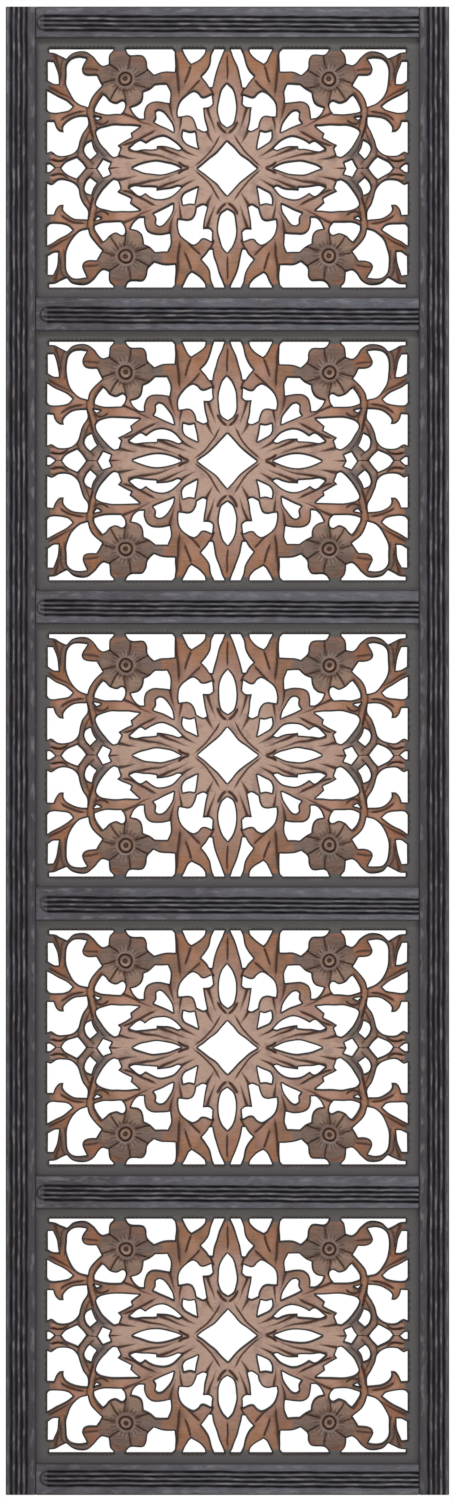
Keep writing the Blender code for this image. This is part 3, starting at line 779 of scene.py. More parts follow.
@dataclass(frozen=True)
class Flower:
    """A corner's flower: lapping petals round a ribbed collar, with a boss at its middle.

    Distances from its middle are steps of the grid, and heights and depths are metres.
    """

    rise: float = 0.0017
    crease_depth: float = 0.0014
    shoulder_depth: float = 0.0006
    lap_depth: float = 0.0011
    rib_depth: float = 0.0003
    collar_rise: float = 0.0007
    bed_rise: float = 0.0007
    dish_rise: float = 0.0022
    moat_depth: float = 0.0011
    eye_depth: float = 0.0007
    button_rise: float = 0.0005
    button: float = 0.9
    eye: float = 1.6
    dish: float = 3.7
    moat: float = 6.3
    boss_edge: Point = (6.0, 9.0)
    collar_edge: Point = (10.4, 11.8)
    twist: float = 0.45
    twist_centre: float = 17.0
    ribs: int = 22

    def carve(
        self, radius: np.ndarray, upward: np.ndarray, angle: np.ndarray
    ) -> tuple[np.ndarray, np.ndarray, np.ndarray]:
        """Work the whole flower.

        Args:
            radius: how far places are from its middle.
            upward: how much above its middle they are, from -1 to 1.
            angle: their direction from its middle, in degrees.

        Returns:
            Its height, the painted shade in its hollows and the mask of its petals.
        """
        radius = np.maximum(radius, 0.01)
        inside = 1 - fade(radius, FLOWER_REACH - 5.0, FLOWER_REACH + 0.5)
        petals, petal_hollow = self.petals(radius, upward, angle)
        boss, boss_hollow = self.boss(radius)
        outside = fade(radius, *self.boss_edge)
        height = inside * (petals * outside + self.bed_rise * (1 - outside) + boss)
        return height, np.maximum(petal_hollow, boss_hollow) * inside, inside

    def petals(
        self, radius: np.ndarray, upward: np.ndarray, angle: np.ndarray
    ) -> tuple[np.ndarray, np.ndarray]:
        """Return the height of the petals with their collar, and the painted shade in their hollows."""
        angle = (angle + self.twist * (radius - self.twist_centre)) % 360
        creases = np.array(PETAL_CREASES, dtype=float)
        from_crease = np.radians(degrees_apart(angle[:, None], creases).min(axis=1)) * radius
        opened = fade(radius, 8.0, 12.0)
        crease = tent(from_crease, 0.0, 1.1) * opened
        shoulder = np.exp(-from_crease / 4.5) * opened
        lap = self.lap(angle, creases) * fade(radius, 9.0, 16.0)
        ribs = 0.5 + 0.5 * np.cos(angle * math.pi / 180 * self.ribs)
        ribs = ribs * fade(radius, 8.5, 10.0) * (1 - fade(radius, 14.0, 18.0))
        height = self.rise * (fade(radius, 7.0, 17.0) * 0.9 + 0.35)
        height = height - self.crease_depth * crease - self.shoulder_depth * shoulder
        height = height - self.lap_depth * lap - self.rib_depth * ribs
        height = height + self.collar_rise * (1 - fade(radius, *self.collar_edge))
        # Painted shadow below the collar's lower edge, and painted shade in the creases, between the ribs and
        # down the petals' shoulders.
        under_collar = tent(radius, self.collar_edge[1], 1.3) * np.clip(-upward, 0, 1)
        darkest = [0.62 * crease, 0.45 * ribs, 0.22 * shoulder, 0.55 * under_collar]
        return height, np.maximum.reduce(darkest)

    @staticmethod
    def lap(angle: np.ndarray, creases: np.ndarray) -> np.ndarray:
        """Return 0 to 1 across each petal, as one edge of it tucks under the next."""
        order = np.searchsorted(creases, angle) % len(creases)
        start = creases[order - 1]
        width = (creases[order] - start) % 360
        return ((angle - start) % 360) / width

    def boss(self, radius: np.ndarray) -> tuple[np.ndarray, np.ndarray]:
        """Return the height of the dished boss with its eye and button, and the painted shade in its moat and
        eye.
        """
        moat = tent(radius, self.moat, 1.2)
        eye = tent(radius, self.eye, 1.0)
        dish = np.clip((radius - 1.5) / 3.3, 0, 1) * (1 - fade(radius, 4.8, 6.0))
        button = np.clip(1 - (radius / self.button) ** 2, 0, 1)
        height = self.dish_rise * dish - self.moat_depth * moat
        height = height - self.eye_depth * eye + self.button_rise * button
        return height, np.maximum(0.95 * moat, 0.95 * eye)

    def boss_painted_highlight(self, radius: np.ndarray, upward: np.ndarray) -> np.ndarray:
        """Return where the dish at the middle is painted brighter: a painted highlight, most below its
        button.
        """
        ring = np.clip(1.3 - np.abs(radius - self.dish) / 1.7, 0, 1)
        return np.clip(ring * (0.85 - 0.4 * upward), 0, 1)

    @staticmethod
    def collar_share(radius: np.ndarray, upward: np.ndarray) -> np.ndarray:
        """Return how grey the collar is: most above the boss."""
        reach = 11.5 + 5.0 * np.clip(upward, 0, 1)
        return fade(radius, 6.8, 8.0) * (1 - fade(radius, reach - 2.5, reach + 1.5)) * (0.65 + 0.35 * upward)

    @staticmethod
    def petal_tone(angle: np.ndarray, patches: Sequence[tuple[float, float, float]]) -> np.ndarray:
        """Return how strong a tone is round the flower: full in the middle of each patch."""
        tone = np.zeros(len(angle))
        for towards, amount, spread in patches:
            turn = degrees_apart(angle, towards)
            tone = np.maximum(tone, amount * (1 - fade(turn, spread * 0.6, spread)))
        return tone


@dataclass
class CarvedQuarter:
    """A quarter of a board: its pierced outline, its relief and what the finish needs to know."""

    half_board: Point
    half_window: Point
    front: float
    back: float
    spacing: float = 0.00092
    flower_spacing: float = 0.00066
    margin_spacing: float = 0.0035
    margin_start: float = 0.001
    feature_gap: float = 0.00042
    least_gap: float = 0.0003
    border_gap: float = 0.0004
    edge_round: float = 0.0010
    edge_line: float = 0.0024
    stem_rise: float = 0.0009
    stem_bed: float = 0.0006
    slope_reach: float = 3.4
    slope_depth: float = 0.55
    flower: Flower = Flower()
    outlines: list[np.ndarray] = field(init=False)
    solid: list[np.ndarray] = field(init=False)

    def __post_init__(self) -> None:
        """Work out the openings' outlines in metres."""
        self.outlines = []
        for points in OPENINGS.values():
            outline = self.to_metres(smooth_points(points, OUTLINE_SPACING, True))
            turn = np.cross(outline, np.roll(outline, -1, axis=0)).sum()
            self.outlines.append(outline if turn > 0 else outline[::-1])
        self.solid = [self.off_mirror(outline) for outline in self.outlines]

    @property
    def grid_step(self) -> np.ndarray:
        """The size of one step of the grid, across and up."""
        return np.array(self.half_window) / np.array(WINDOW_GRID)

    def to_metres(self, points: np.ndarray) -> np.ndarray:
        """Return grid points in metres from the board's centre."""
        return points * self.grid_step

    def to_grid(self, points: np.ndarray) -> np.ndarray:
        """Return points in metres from the board's centre on the grid."""
        return points / self.grid_step

    @staticmethod
    def off_mirror(outline: np.ndarray) -> np.ndarray:
        """Return an outline with the stretch on a mirror line pushed across it, out of the way."""
        pushed = outline.copy()
        pushed[np.abs(pushed) < ON_MIRROR] = -PAST_MIRROR
        return pushed

    def edge_distance(self, points: np.ndarray) -> np.ndarray:
        """Return each point's distance from the nearest cut edge."""
        return distance_to_outlines(points, self.solid)

    @staticmethod
    def hex_points(low: Point, high: Point, spacing: float) -> np.ndarray:
        """Return points in staggered rows over a rectangle."""
        row_height = spacing * math.sqrt(3) / 2
        rows = np.arange(low[1] + row_height / 2, high[1], row_height)
        across = np.arange(low[0] + spacing / 2, high[0], spacing)
        grid = [
            np.column_stack([across + (index % 2) * spacing / 2, np.full(len(across), height)])
            for index, height in enumerate(rows)
        ]
        points = np.concatenate(grid)
        return points[points[:, 0] < high[0]]

    def groove_lines(self) -> list[np.ndarray]:
        """Return the lines that need points of their own: grooves, creases, stems and rings."""
        lines = [smooth_points(groove.points, GROOVE_SPACING, False) for groove in GROOVES]
        lines += [smooth_points(points, LINE_SPACING, False) for points, _ in STEMS]
        centre = np.array(FLOWER_CENTRE)
        for angle in PETAL_CREASES:
            ray = np.array([math.cos(math.radians(angle)), math.sin(math.radians(angle))])
            lines.append(centre + np.arange(9.0, FLOWER_REACH, GROOVE_SPACING)[:, None] * ray)
        for radius in FLOWER_RINGS:
            angles = np.linspace(0, 2 * math.pi, round(radius * 8), endpoint=False)
            lines.append(centre + radius * np.column_stack([np.cos(angles), np.sin(angles)]))
        lines.append(centre[None, :])
        return lines

    def feature_points(self) -> np.ndarray:
        """Return points along every line of the relief, with a row to each side of a groove."""
        rows = []
        for line in self.groove_lines():
            rows.append(line)
            if len(line) > 2:
                flank = GROOVE_FLANK * beside(np.gradient(line, axis=0))
                rows += [line + flank, line - flank]
        return self.to_metres(np.concatenate(rows))

    def rim_points(self) -> np.ndarray:
        """Return rows of points just inside the cut edges, for the eased edge."""
        rows = []
        for outline in self.outlines:
            into_opening = beside(np.roll(outline, -1, axis=0) - np.roll(outline, 1, axis=0))
            for share in (0.28, 0.72):
                moved = outline - into_opening * self.edge_round * share
                clear = self.edge_distance(moved) > self.edge_round * share * 0.93
                rows.append(moved[clear])
        return np.concatenate(rows)

    def inner_points(self) -> np.ndarray:
        """Return every point of the front that isn't on an outline."""
        features = self.feature_points()
        rims = self.rim_points()
        window = np.array(self.half_window)
        coarse = self.hex_points((0, 0), self.half_window, self.spacing)
        centre = self.to_metres(np.array(FLOWER_CENTRE))
        reach = FLOWER_REACH * window[0] / WINDOW_GRID[0]
        from_flower = np.linalg.norm(coarse - centre, axis=1)
        fine = self.hex_points(tuple(centre - reach), tuple(centre + reach), self.flower_spacing)
        fine = fine[np.linalg.norm(fine - centre, axis=1) < reach]
        coarse = coarse[from_flower > reach]
        margin = self.hex_points((0, 0), self.half_board, self.margin_spacing)
        margin = margin[(margin > window + self.margin_start).any(axis=1)]
        body = np.concatenate([coarse, fine])
        body = self.keep_clear(body, features, self.feature_gap)
        body = body[self.edge_distance(body) > self.edge_round * 1.15]
        features = features[self.edge_distance(features) > self.edge_round * 0.45]
        rims = self.keep_clear(rims, features, self.least_gap)
        points = np.concatenate([body, features, rims, margin, self.axis_points()])
        limit = np.array(self.half_board) - self.border_gap
        inside = (points >= 0).all(axis=1) & (points < limit).all(axis=1)
        on_axis = (np.abs(points) < ON_MIRROR).any(axis=1)
        near_axis = (points < self.least_gap).any(axis=1) & ~on_axis
        return points[inside & ~near_axis]

    def axis_points(self) -> np.ndarray:
        """Return points along the two mirror lines, outside the openings."""
        along = np.arange(self.spacing, self.half_board[0], self.spacing)
        up = np.arange(self.spacing, self.half_board[1], self.spacing)
        points = np.concatenate([
            np.column_stack([along, np.zeros(len(along))]),
            np.column_stack([np.zeros(len(up)), up]),
        ])
        return points[self.edge_distance(points) > self.border_gap]

    @staticmethod
    def keep_clear(points: np.ndarray, others: np.ndarray, gap: float) -> np.ndarray:
        """Return the points that are further than a gap from every other point."""
        clear = np.ones(len(points), dtype=bool)
        for first in range(0, len(points), CHUNK):
            some = points[first:first + CHUNK]
            offset = some[:, None, :] - others[None, :, :]
            clear[first:first + CHUNK] = (offset**2).sum(axis=2).min(axis=1) > gap**2
        return points[clear]

    def sheet(self, inner: np.ndarray) -> tuple[np.ndarray, np.ndarray]:
        """Fill the quarter around its openings.

        Args:
            inner: points that aren't on an outline.

        Returns:
            The sheet's points and its triangles.
        """
        across, up = self.half_board
        points = [(0, 0), (across, 0), (across, up), (0, up)]
        faces = [[0, 1, 2, 3]]
        for outline in self.outlines:
            faces.append(list(range(len(points), len(points) + len(outline))))
            points += [tuple(point) for point in outline]
        points += [tuple(point) for point in inner]
        result = delaunay_2d_cdt(points, [], faces, 1, 1e-7, True)
        kept = [triangle for triangle, parents in zip(result[2], result[5]) if list(parents) == [0]]
        return np.array([tuple(point) for point in result[0]]), np.array(kept)

    def carve(self, points: np.ndarray) -> dict[str, np.ndarray]:
        """Work out the relief and the finish's masks.

        Args:
            points: places on the board's front, in metres from its centre.

        Returns:
            The height above the board's front, and each mask by its name.
        """
        grid = self.to_grid(points)
        to_border = np.minimum(WINDOW_GRID[0] - grid[:, 0], WINDOW_GRID[1] - grid[:, 1])
        within = fade(to_border, -1.0, 4.5)
        height, hollow, crest = self.work_lines(grid)
        radius, upward, angle = around_flower(grid)
        flower, flower_hollow, petals = self.flower.carve(radius, upward, angle)
        height = height * (1 - petals) + flower
        hollow = np.maximum(hollow * (1 - petals), flower_hollow)
        distance = self.edge_distance(points)
        inset = tent(distance, 0.0, self.edge_round)
        drop = self.edge_round * (1 - np.sqrt(1 - inset**2))
        orange = self.flower.petal_tone(angle, ORANGE_PETALS) * fade(radius, 13.0, 20.0)
        bright = self.flower.petal_tone(angle, BRIGHT_PETALS) * fade(radius, 10.0, 15.0)
        return {
            "height": height * within - drop,
            "hollow": hollow * within,
            "edge": tent(distance, 0.0, self.edge_line),
            "border": 1 - fade(to_border, 0.0, 6.5),
            "reach": (grid[:, 0] / ROSETTE_GRID[0] + grid[:, 1] / ROSETTE_GRID[1]) / OUTERMOST_REACH,
            "petal": petals,
            "blush": petals * orange,
            "bright": petals * bright,
            "boss": self.flower.boss_painted_highlight(radius, upward),
            "crest": crest,
            "ashen": self.tint(grid, ASHEN_SPOTS),
            "dusky": self.tint(grid, DUSKY_SPOTS),
            "rosy": self.tint(grid, ROSY_SPOTS),
            "collar": self.flower.collar_share(radius, upward),
        }

    def work_lines(self, grid: np.ndarray) -> tuple[np.ndarray, np.ndarray, np.ndarray]:
        """Return the height, the painted shade in the hollows and the stems' crests that the grooves and
        stems give.
        """
        height, hollow, crest = np.zeros((3, len(grid)))
        for groove in GROOVES:
            dip, mask = self.cut_groove(groove, grid)
            height -= dip
            hollow = np.maximum(hollow, mask)
        for line, reach in STEMS:
            gap, travel = nearest_on_line(grid, smooth_points(line, LINE_SPACING, False))
            share = np.abs(gap) / reach
            ends = fade(travel, 0.0, 0.08) * fade(1 - travel, 0.0, 0.08)
            flank = tent(share, 1.1, 0.35) * ends
            height += self.stem_rise * np.clip(1 - share**2, 0, 1) * ends
            height -= self.stem_bed * flank
            # Painted shade along the sunk bed beside each stem.
            hollow = np.maximum(hollow, 0.8 * flank)
            crest = np.maximum(crest, tent(share, 0.0, 0.55) * ends)
        return height, hollow, crest

    def cut_groove(self, groove: Groove, grid: np.ndarray) -> tuple[np.ndarray, np.ndarray]:
        """Return how deep one groove is at each place, and the painted shade there: full in the V, faint down
        the long slope on its leaning side.
        """
        gap, travel = nearest_on_line(grid, smooth_points(groove.points, LINE_SPACING, False))
        if groove.cut is Cut.GOUGE:
            size = np.clip(1.05 - travel, 0, 1) ** 0.7
        else:
            size = np.clip(np.minimum(travel, 1 - travel) * 6, 0.25, 1)
        share = np.abs(gap) / (groove.reach * np.maximum(size, 0.2))
        wedge = np.clip(1 - share, 0, 1) * size
        beyond_end = (travel <= 0) | (travel >= 1)
        slope = np.exp(-np.abs(gap) / self.slope_reach) * size * (gap * groove.lean > 0) * ~beyond_end
        dip = groove.depth * wedge + self.slope_depth * groove.depth * slope * (1 - wedge)
        return dip, np.maximum(wedge, 0.3 * slope)

    @staticmethod
    def tint(grid: np.ndarray, spots: Sequence[tuple[float, float, float, float]]) -> np.ndarray:
        """Return how strong a tint is: full in the middle of each spot and none past its reach."""
        strength = np.zeros(len(grid))
        for across, up, reach, amount in spots:
            gap = np.hypot(grid[:, 0] - across, grid[:, 1] - up)
            strength = np.maximum(strength, amount * (1 - fade(gap, 0.4 * reach, reach)))
        return strength

    def mesh(self) -> bpy.types.Mesh:
        """Return the quarter as a mesh that is open where the mirrors meet."""
        points, triangles = self.sheet(self.inner_points())
        back_points, back_triangles = self.sheet(np.empty((0, 2)))
        masks = self.carve(points)
        heights = masks.pop("height")
        middle = self.front + (self.back - self.front) * 0.55
        rim = self.open_edges(points, triangles)
        rim_ids = sorted({index for edge in rim for index in edge})
        first_level = len(points)
        first_back = first_level + len(rim_ids)
        level = {index: first_level + order for order, index in enumerate(rim_ids)}
        behind = {self.key(point): first_back + order for order, point in enumerate(back_points)}
        front = [(x, self.front - height, z) for (x, z), height in zip(points, heights)]
        walls = [(points[index][0], middle, points[index][1]) for index in rim_ids]
        rear = [(x, self.back, z) for x, z in back_points]
        faces = [tuple(triangle) for triangle in triangles]
        faces += [tuple(first_back + index for index in reversed(triangle)) for triangle in back_triangles]
        for start, end in rim:
            start_back, end_back = behind[self.key(points[start])], behind[self.key(points[end])]
            faces.append((end, start, level[start], level[end]))
            faces.append((level[end], level[start], start_back, end_back))
        mesh = bpy.data.meshes.new("carved_quarter")
        mesh.from_pydata(front + walls + rear, [], faces)
        unseen = len(walls) + len(rear)
        for name, values in masks.items():
            paint(mesh, name, np.concatenate([values, np.zeros(unseen)]))
        paint(mesh, "wall", np.concatenate([np.zeros(len(front)), np.ones(unseen)]))
        paint(mesh, "rear", np.concatenate([np.zeros(len(front) + len(walls)), np.ones(len(rear))]))
        return mesh

    @staticmethod
    def key(point: Sequence[float]) -> tuple[int, int]:
        """Return a place rounded so that the same corner is found from both sheets."""
        return round(point[0] * 1e7), round(point[1] * 1e7)

    @staticmethod
    def open_edges(points: np.ndarray, triangles: np.ndarray) -> list[tuple[int, int]]:
        """Return the sheet's outer edges, but for those on a mirror line, in their faces' order."""
        directed = {}
        for triangle in triangles:
            for start, end in zip(triangle, np.roll(triangle, -1)):
                directed[(int(start), int(end))] = True
        edges = []
        for start, end in directed:
            on_mirror = (np.abs(points[[start, end]]) < 1e-7).all(axis=0).any()
            if (end, start) not in directed and not on_mirror:
                edges.append((start, end))
        return edges


@dataclass
class CarvedBoards:
    """All the boards, cut to one design by hand."""

    wander: float = 0.00042

    def quarter(self) -> CarvedQuarter:
        """Return the design at the size of the boards in the frame."""
        low, high = node_corners("carved_board_1")
        half_board = ((high.x - low.x) / 2, (high.z - low.z) / 2)
        hidden = REBATE_WIDTH - CLEARANCE
        half_window = (half_board[0] - hidden - SIDE_MARGIN, half_board[1] - hidden - END_MARGIN)
        return CarvedQuarter(half_board, half_window, high.y - BOARD_THICKNESS, high.y)

    def build(self, material: bpy.types.Material) -> None:
        """Make every board.

        Args:
            material: their finish.
        """
        design = self.quarter()
        quarter = design.mesh()
        LOG.info("quarter of a board: %d faces", len(quarter.polygons))
        for number in range(1, BOARD_COUNT + 1):
            self.board(number, quarter, design, material)

    def board(
        self, number: int, quarter: bpy.types.Mesh, design: CarvedQuarter, material: bpy.types.Material
    ) -> None:
        """Make one board from the quarter, with its own small wanderings of the saw and gouge.

        Args:
            number: which board, counted from the top.
            quarter: the quarter's mesh.
            design: the quarter's sizes.
            material: the finish.
        """
        node = f"carved_board_{number}"
        piece = bpy.data.objects.new(node + "_fretwork", quarter.copy())
        bpy.context.scene.collection.objects.link(piece)
        make_active(piece)
        mirror = piece.modifiers.new("Four quarters", "MIRROR")
        mirror.use_axis = (True, False, True)
        mirror.use_mirror_merge = True
        mirror.merge_threshold = 0.00001
        bpy.ops.object.modifier_apply(modifier=mirror.name)
        self.loosen(piece.data, number, design)
        low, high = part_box(node)
        half_height = (high[2] - low[2]) / 2
        places = read_places(piece.data)
        up = self.stretched(places[:, 2], half_height, design)
        window_top = half_height - REBATE_WIDTH + CLEARANCE - END_MARGIN
        # Painted light: the top margin just under the rail is painted lighter, to take away the rail's shadow
        # on it.
        paint(piece.data, "painted_light_ledge", fade(up, window_top - 0.001, window_top + 0.002))
        places[:, 2] = up + (low[2] + high[2]) / 2
        write_places(piece.data, places)
        bpy.ops.object.mode_set(mode="EDIT")
        bpy.ops.mesh.select_all(action="SELECT")
        bpy.ops.mesh.normals_make_consistent(inside=False)
        bpy.ops.object.mode_set(mode="OBJECT")
        bpy.ops.object.shade_smooth_by_angle(angle=BOARD_SHARP)
        hand_over(piece, node, material)

    @staticmethod
    def stretched(up: np.ndarray, half_height: float, design: CarvedQuarter) -> np.ndarray:
        """Fit heights on the design to a board of another height, with the same margins.

        Args:
            up: heights from the board's centre.
            half_height: half the height of the board.
            design: the quarter's sizes.

        Returns:
            The heights on that board.
        """
        window = design.half_window[1]
        inside = np.clip(up, -window, window)
        return inside * (window + half_height - design.half_board[1]) / window + up - inside

    def loosen(self, mesh: bpy.types.Mesh, number: int, design: CarvedQuarter) -> None:
        """Let the cuts wander a little from one quarter to the next, but not the straight margins."""
        places = read_places(mesh)
        across, up = places[:, 0].copy(), places[:, 2].copy()
        to_border = np.minimum(design.half_window[0] - np.abs(across), design.half_window[1] - np.abs(up))
        free = fade(to_border, 0.0, 0.006)
        for axis, seed in ((0, 3), (2, 7)):
            wave = Waver(1000 * number + seed, (0.083, 0.041, 0.023, 0.014), self.wander)
            places[:, axis] += 1.6 * wave.over(across, up) * free
        on_front = places[:, 1] < design.front + 0.003
        ripple = Waver(2000 * number, (0.017, 0.0091, 0.0057), 0.00011)
        places[:, 1] += ripple.over(across, up) * free * on_front
        write_places(mesh, places)


# Finishes

class NodeKit:
    """Short ways to add and join nodes in one tree."""

    def __init__(self, tree: bpy.types.NodeTree) -> None:
        """Work on one node tree."""
        self.tree = tree

    def add(self, kind: str, **settings: object) -> bpy.types.Node:
        """Add a node and set its properties."""
        node = self.tree.nodes.new(kind)
        for name, value in settings.items():
            setattr(node, name, value)
        return node

    def join(self, source: Socket, target: Socket) -> None:
        """Link two sockets."""
        self.tree.links.new(source, target)

    def feed(self, target: Socket, value: object) -> None:
        """Link a socket to the target, or set the target to a plain value."""
        if isinstance(value, Socket):
            self.join(value, target)
        else:
            target.default_value = value

    def mask(self, name: str) -> Socket:
        """Return a number stored on the mesh."""
        return self.add("ShaderNodeAttribute", attribute_name=name).outputs["Fac"]

    def maths(self, operation: str, first: object, second: object = 0.0, clamp: bool = False) -> Socket:
        """Return the result of one sum."""
        node = self.add("ShaderNodeMath", operation=operation, use_clamp=clamp)
        self.feed(node.inputs[0], first)
        self.feed(node.inputs[1], second)
        return node.outputs[0]

    def times(self, first: object, second: object) -> Socket:
        """Return the product of two numbers."""
        return self.maths("MULTIPLY", first, second)

    def rescaled(self, value: Socket, factor: float, offset: float) -> Socket:
        """Return a number times a factor, plus an offset."""
        result = self.maths("MULTIPLY_ADD", value, factor)
        result.node.inputs[2].default_value = offset
        return result

    def scaled_vector(self, vector: Socket, factors: object) -> Socket:
        """Return a vector with each of its numbers times its own factor."""
        node = self.add("ShaderNodeVectorMath", operation="MULTIPLY")
        self.join(vector, node.inputs[0])
        self.feed(node.inputs[1], factors)
        return node.outputs["Vector"]

    def mix(self, share: object, first: object, second: object) -> Socket:
        """Return a mix of two colours."""
        node = self.add("ShaderNodeMix", data_type="RGBA")
        self.feed(node.inputs["Factor"], share)
        self.feed(node.inputs["A"], first)
        self.feed(node.inputs["B"], second)
        return node.outputs["Result"]

    def paint_over(self, base: Socket, coats: Sequence[tuple[Socket, float, object]]) -> Socket:
        """Lay coats of colour over a base, one after the other.

        Args:
            base: the colour below them all.
            coats: each coat's mask, its strength and its colour.

        Returns:
            The colour that shows.
        """
        for mask, strength, coat in coats:
            share = mask if strength == 1.0 else self.times(mask, strength)
            base = self.mix(share, base, coat)
        return base

    def noise(self, vector: Socket, scale: object, detail: float) -> Socket:
        """Return a noise value."""
        node = self.add("ShaderNodeTexNoise")
        self.join(vector, node.inputs["Vector"])
        self.feed(node.inputs["Scale"], scale)
        node.inputs["Detail"].default_value = detail
        return node.outputs["Fac"]

    def place_group(self, group: bpy.types.NodeTree, vector: Socket) -> bpy.types.Node:
        """Place a shared group and give it a vector."""
        node = self.add("ShaderNodeGroup", node_tree=group)
        self.join(vector, node.inputs["Vector"])
        return node

    def spread(self, value: Socket, low: float, high: float) -> Socket:
        """Return a value stretched so that low becomes 0 and high becomes 1."""
        node = self.add("ShaderNodeMapRange", interpolation_type="SMOOTHSTEP")
        self.join(value, node.inputs["Value"])
        node.inputs["From Min"].default_value = low
        node.inputs["From Max"].default_value = high
        return node.outputs["Result"]

    def ramp(self, value: Socket, stops: Sequence[tuple[float, tuple]]) -> Socket:
        """Return a colour from a ramp of stops."""
        node = self.add("ShaderNodeValToRGB")
        elements = node.color_ramp.elements
        while len(elements) < len(stops):
            elements.new(0.5)
        for element, (place, colour) in zip(elements, stops):
            element.position = place
            element.color = colour
        self.join(value, node.inputs["Fac"])
        return node.outputs["Color"]


def colour(red: float, green: float, blue: float) -> Colour:
    """Return an opaque colour."""
    return (red, green, blue, 1.0)


def new_group(
    name: str, inputs: dict[str, float], outputs: Sequence[str]
) -> tuple[bpy.types.NodeTree, NodeKit]:
    """Start a shader node group that takes a vector and some numbers.

    Args:
        name: the group's name.
        inputs: its number inputs and their usual values.
        outputs: its number outputs.

    Returns:
        The group and a kit for its tree.
    """
    group = bpy.data.node_groups.new(name, "ShaderNodeTree")
    group.interface.new_socket("Vector", in_out="INPUT", socket_type="NodeSocketVector")
    for label, value in inputs.items():
        group.interface.new_socket(label, in_out="INPUT", socket_type="NodeSocketFloat").default_value = value
    for label in outputs:
        group.interface.new_socket(label, in_out="OUTPUT", socket_type="NodeSocketFloat")
    return group, NodeKit(group)


class WoodGrain:
    """A node group: streaks, fine pores and broad patches of wood, along X of its vector."""

    PORES_FINER = 2.6

    def __init__(self) -> None:
        """Build the group."""
        inputs = {"Stretch": 14.0, "Fineness": 900.0}
        self.group, kit = new_group("Wood grain", inputs, ("Streaks", "Pores", "Patches"))
        start, end = kit.add("NodeGroupInput"), kit.add("NodeGroupOutput")
        fineness = start.outputs["Fineness"]
        squeeze = kit.add("ShaderNodeCombineXYZ")
        kit.join(kit.maths("DIVIDE", 1.0, start.outputs["Stretch"]), squeeze.inputs["X"])
        squeeze.inputs["Y"].default_value = 1.0
        squeeze.inputs["Z"].default_value = 1.0
        long_way = kit.scaled_vector(start.outputs["Vector"], squeeze.outputs["Vector"])
        pores = kit.noise(long_way, kit.times(fineness, self.PORES_FINER), 2.0)
        kit.join(kit.noise(long_way, fineness, 4.0), end.inputs["Streaks"])
        kit.join(kit.spread(pores, 0.56, 0.72), end.inputs["Pores"])
        kit.join(kit.noise(start.outputs["Vector"], 34.0, 3.0), end.inputs["Patches"])


class HandWear:
    """A node group: where hands and dust have lightened raised wood."""

    def __init__(self) -> None:
        """Build the group."""
        self.group, kit = new_group("Hand wear", {"Raised": 1.0, "Amount": 0.5}, ("Worn", "Dusty"))
        start, end = kit.add("NodeGroupInput"), kit.add("NodeGroupOutput")
        vector = start.outputs["Vector"]
        rubbed = kit.spread(kit.noise(vector, 130.0, 5.0), 0.47, 0.68)
        worn = kit.times(kit.times(rubbed, start.outputs["Raised"]), start.outputs["Amount"])
        kit.join(worn, end.inputs["Worn"])
        kit.join(kit.spread(kit.noise(vector, 61.0, 4.0), 0.5, 0.75), end.inputs["Dusty"])


@dataclass(frozen=True)
class WoodFinish:
    """What every wood finish here shares: its grain, its wear and its sheen."""

    name: str
    grain: WoodGrain
    wear: HandWear
    turn: float = 0.0
    roughness: tuple[float, float] = (0.52, 0.78)
    bump: float = 0.28

    def start(self) -> tuple[bpy.types.Material, NodeKit, bpy.types.Node, Socket]:
        """Return a new material, its kit, its shader and the wood's vector."""
        material = bpy.data.materials.new(self.name)
        material.use_nodes = True
        kit = NodeKit(material.node_tree)
        shader = material.node_tree.nodes["Principled BSDF"]
        place = kit.add("ShaderNodeTexCoord")
        turned = kit.add("ShaderNodeMapping")
        turned.inputs["Rotation"].default_value = (0.0, self.turn, 0.0)
        kit.join(place.outputs["Object"], turned.inputs["Vector"])
        return material, kit, shader, turned.outputs["Vector"]

    def surface(
        self, kit: NodeKit, shader: bpy.types.Node, grain: bpy.types.Node, vector: Socket, depth: float
    ) -> None:
        """Give the wood its roughness and its fine bumps.

        Args:
            kit: the material's kit.
            shader: the material's shader.
            grain: the grain group's node.
            vector: the wood's vector.
            depth: the height of the bumps, in metres.
        """
        low, high = self.roughness
        kit.join(kit.rescaled(kit.noise(vector, 75.0, 4.0), high - low, low), shader.inputs["Roughness"])
        tool_marks = kit.noise(vector, 420.0, 3.0)
        height = kit.maths("ADD", kit.times(grain.outputs["Streaks"], 0.8), tool_marks)
        height = kit.maths("SUBTRACT", height, kit.times(grain.outputs["Pores"], 0.5))
        bump = kit.add("ShaderNodeBump")
        bump.inputs["Strength"].default_value = self.bump
        bump.inputs["Distance"].default_value = depth
        kit.join(height, bump.inputs["Height"])
        kit.join(bump.outputs["Normal"], shader.inputs["Normal"])


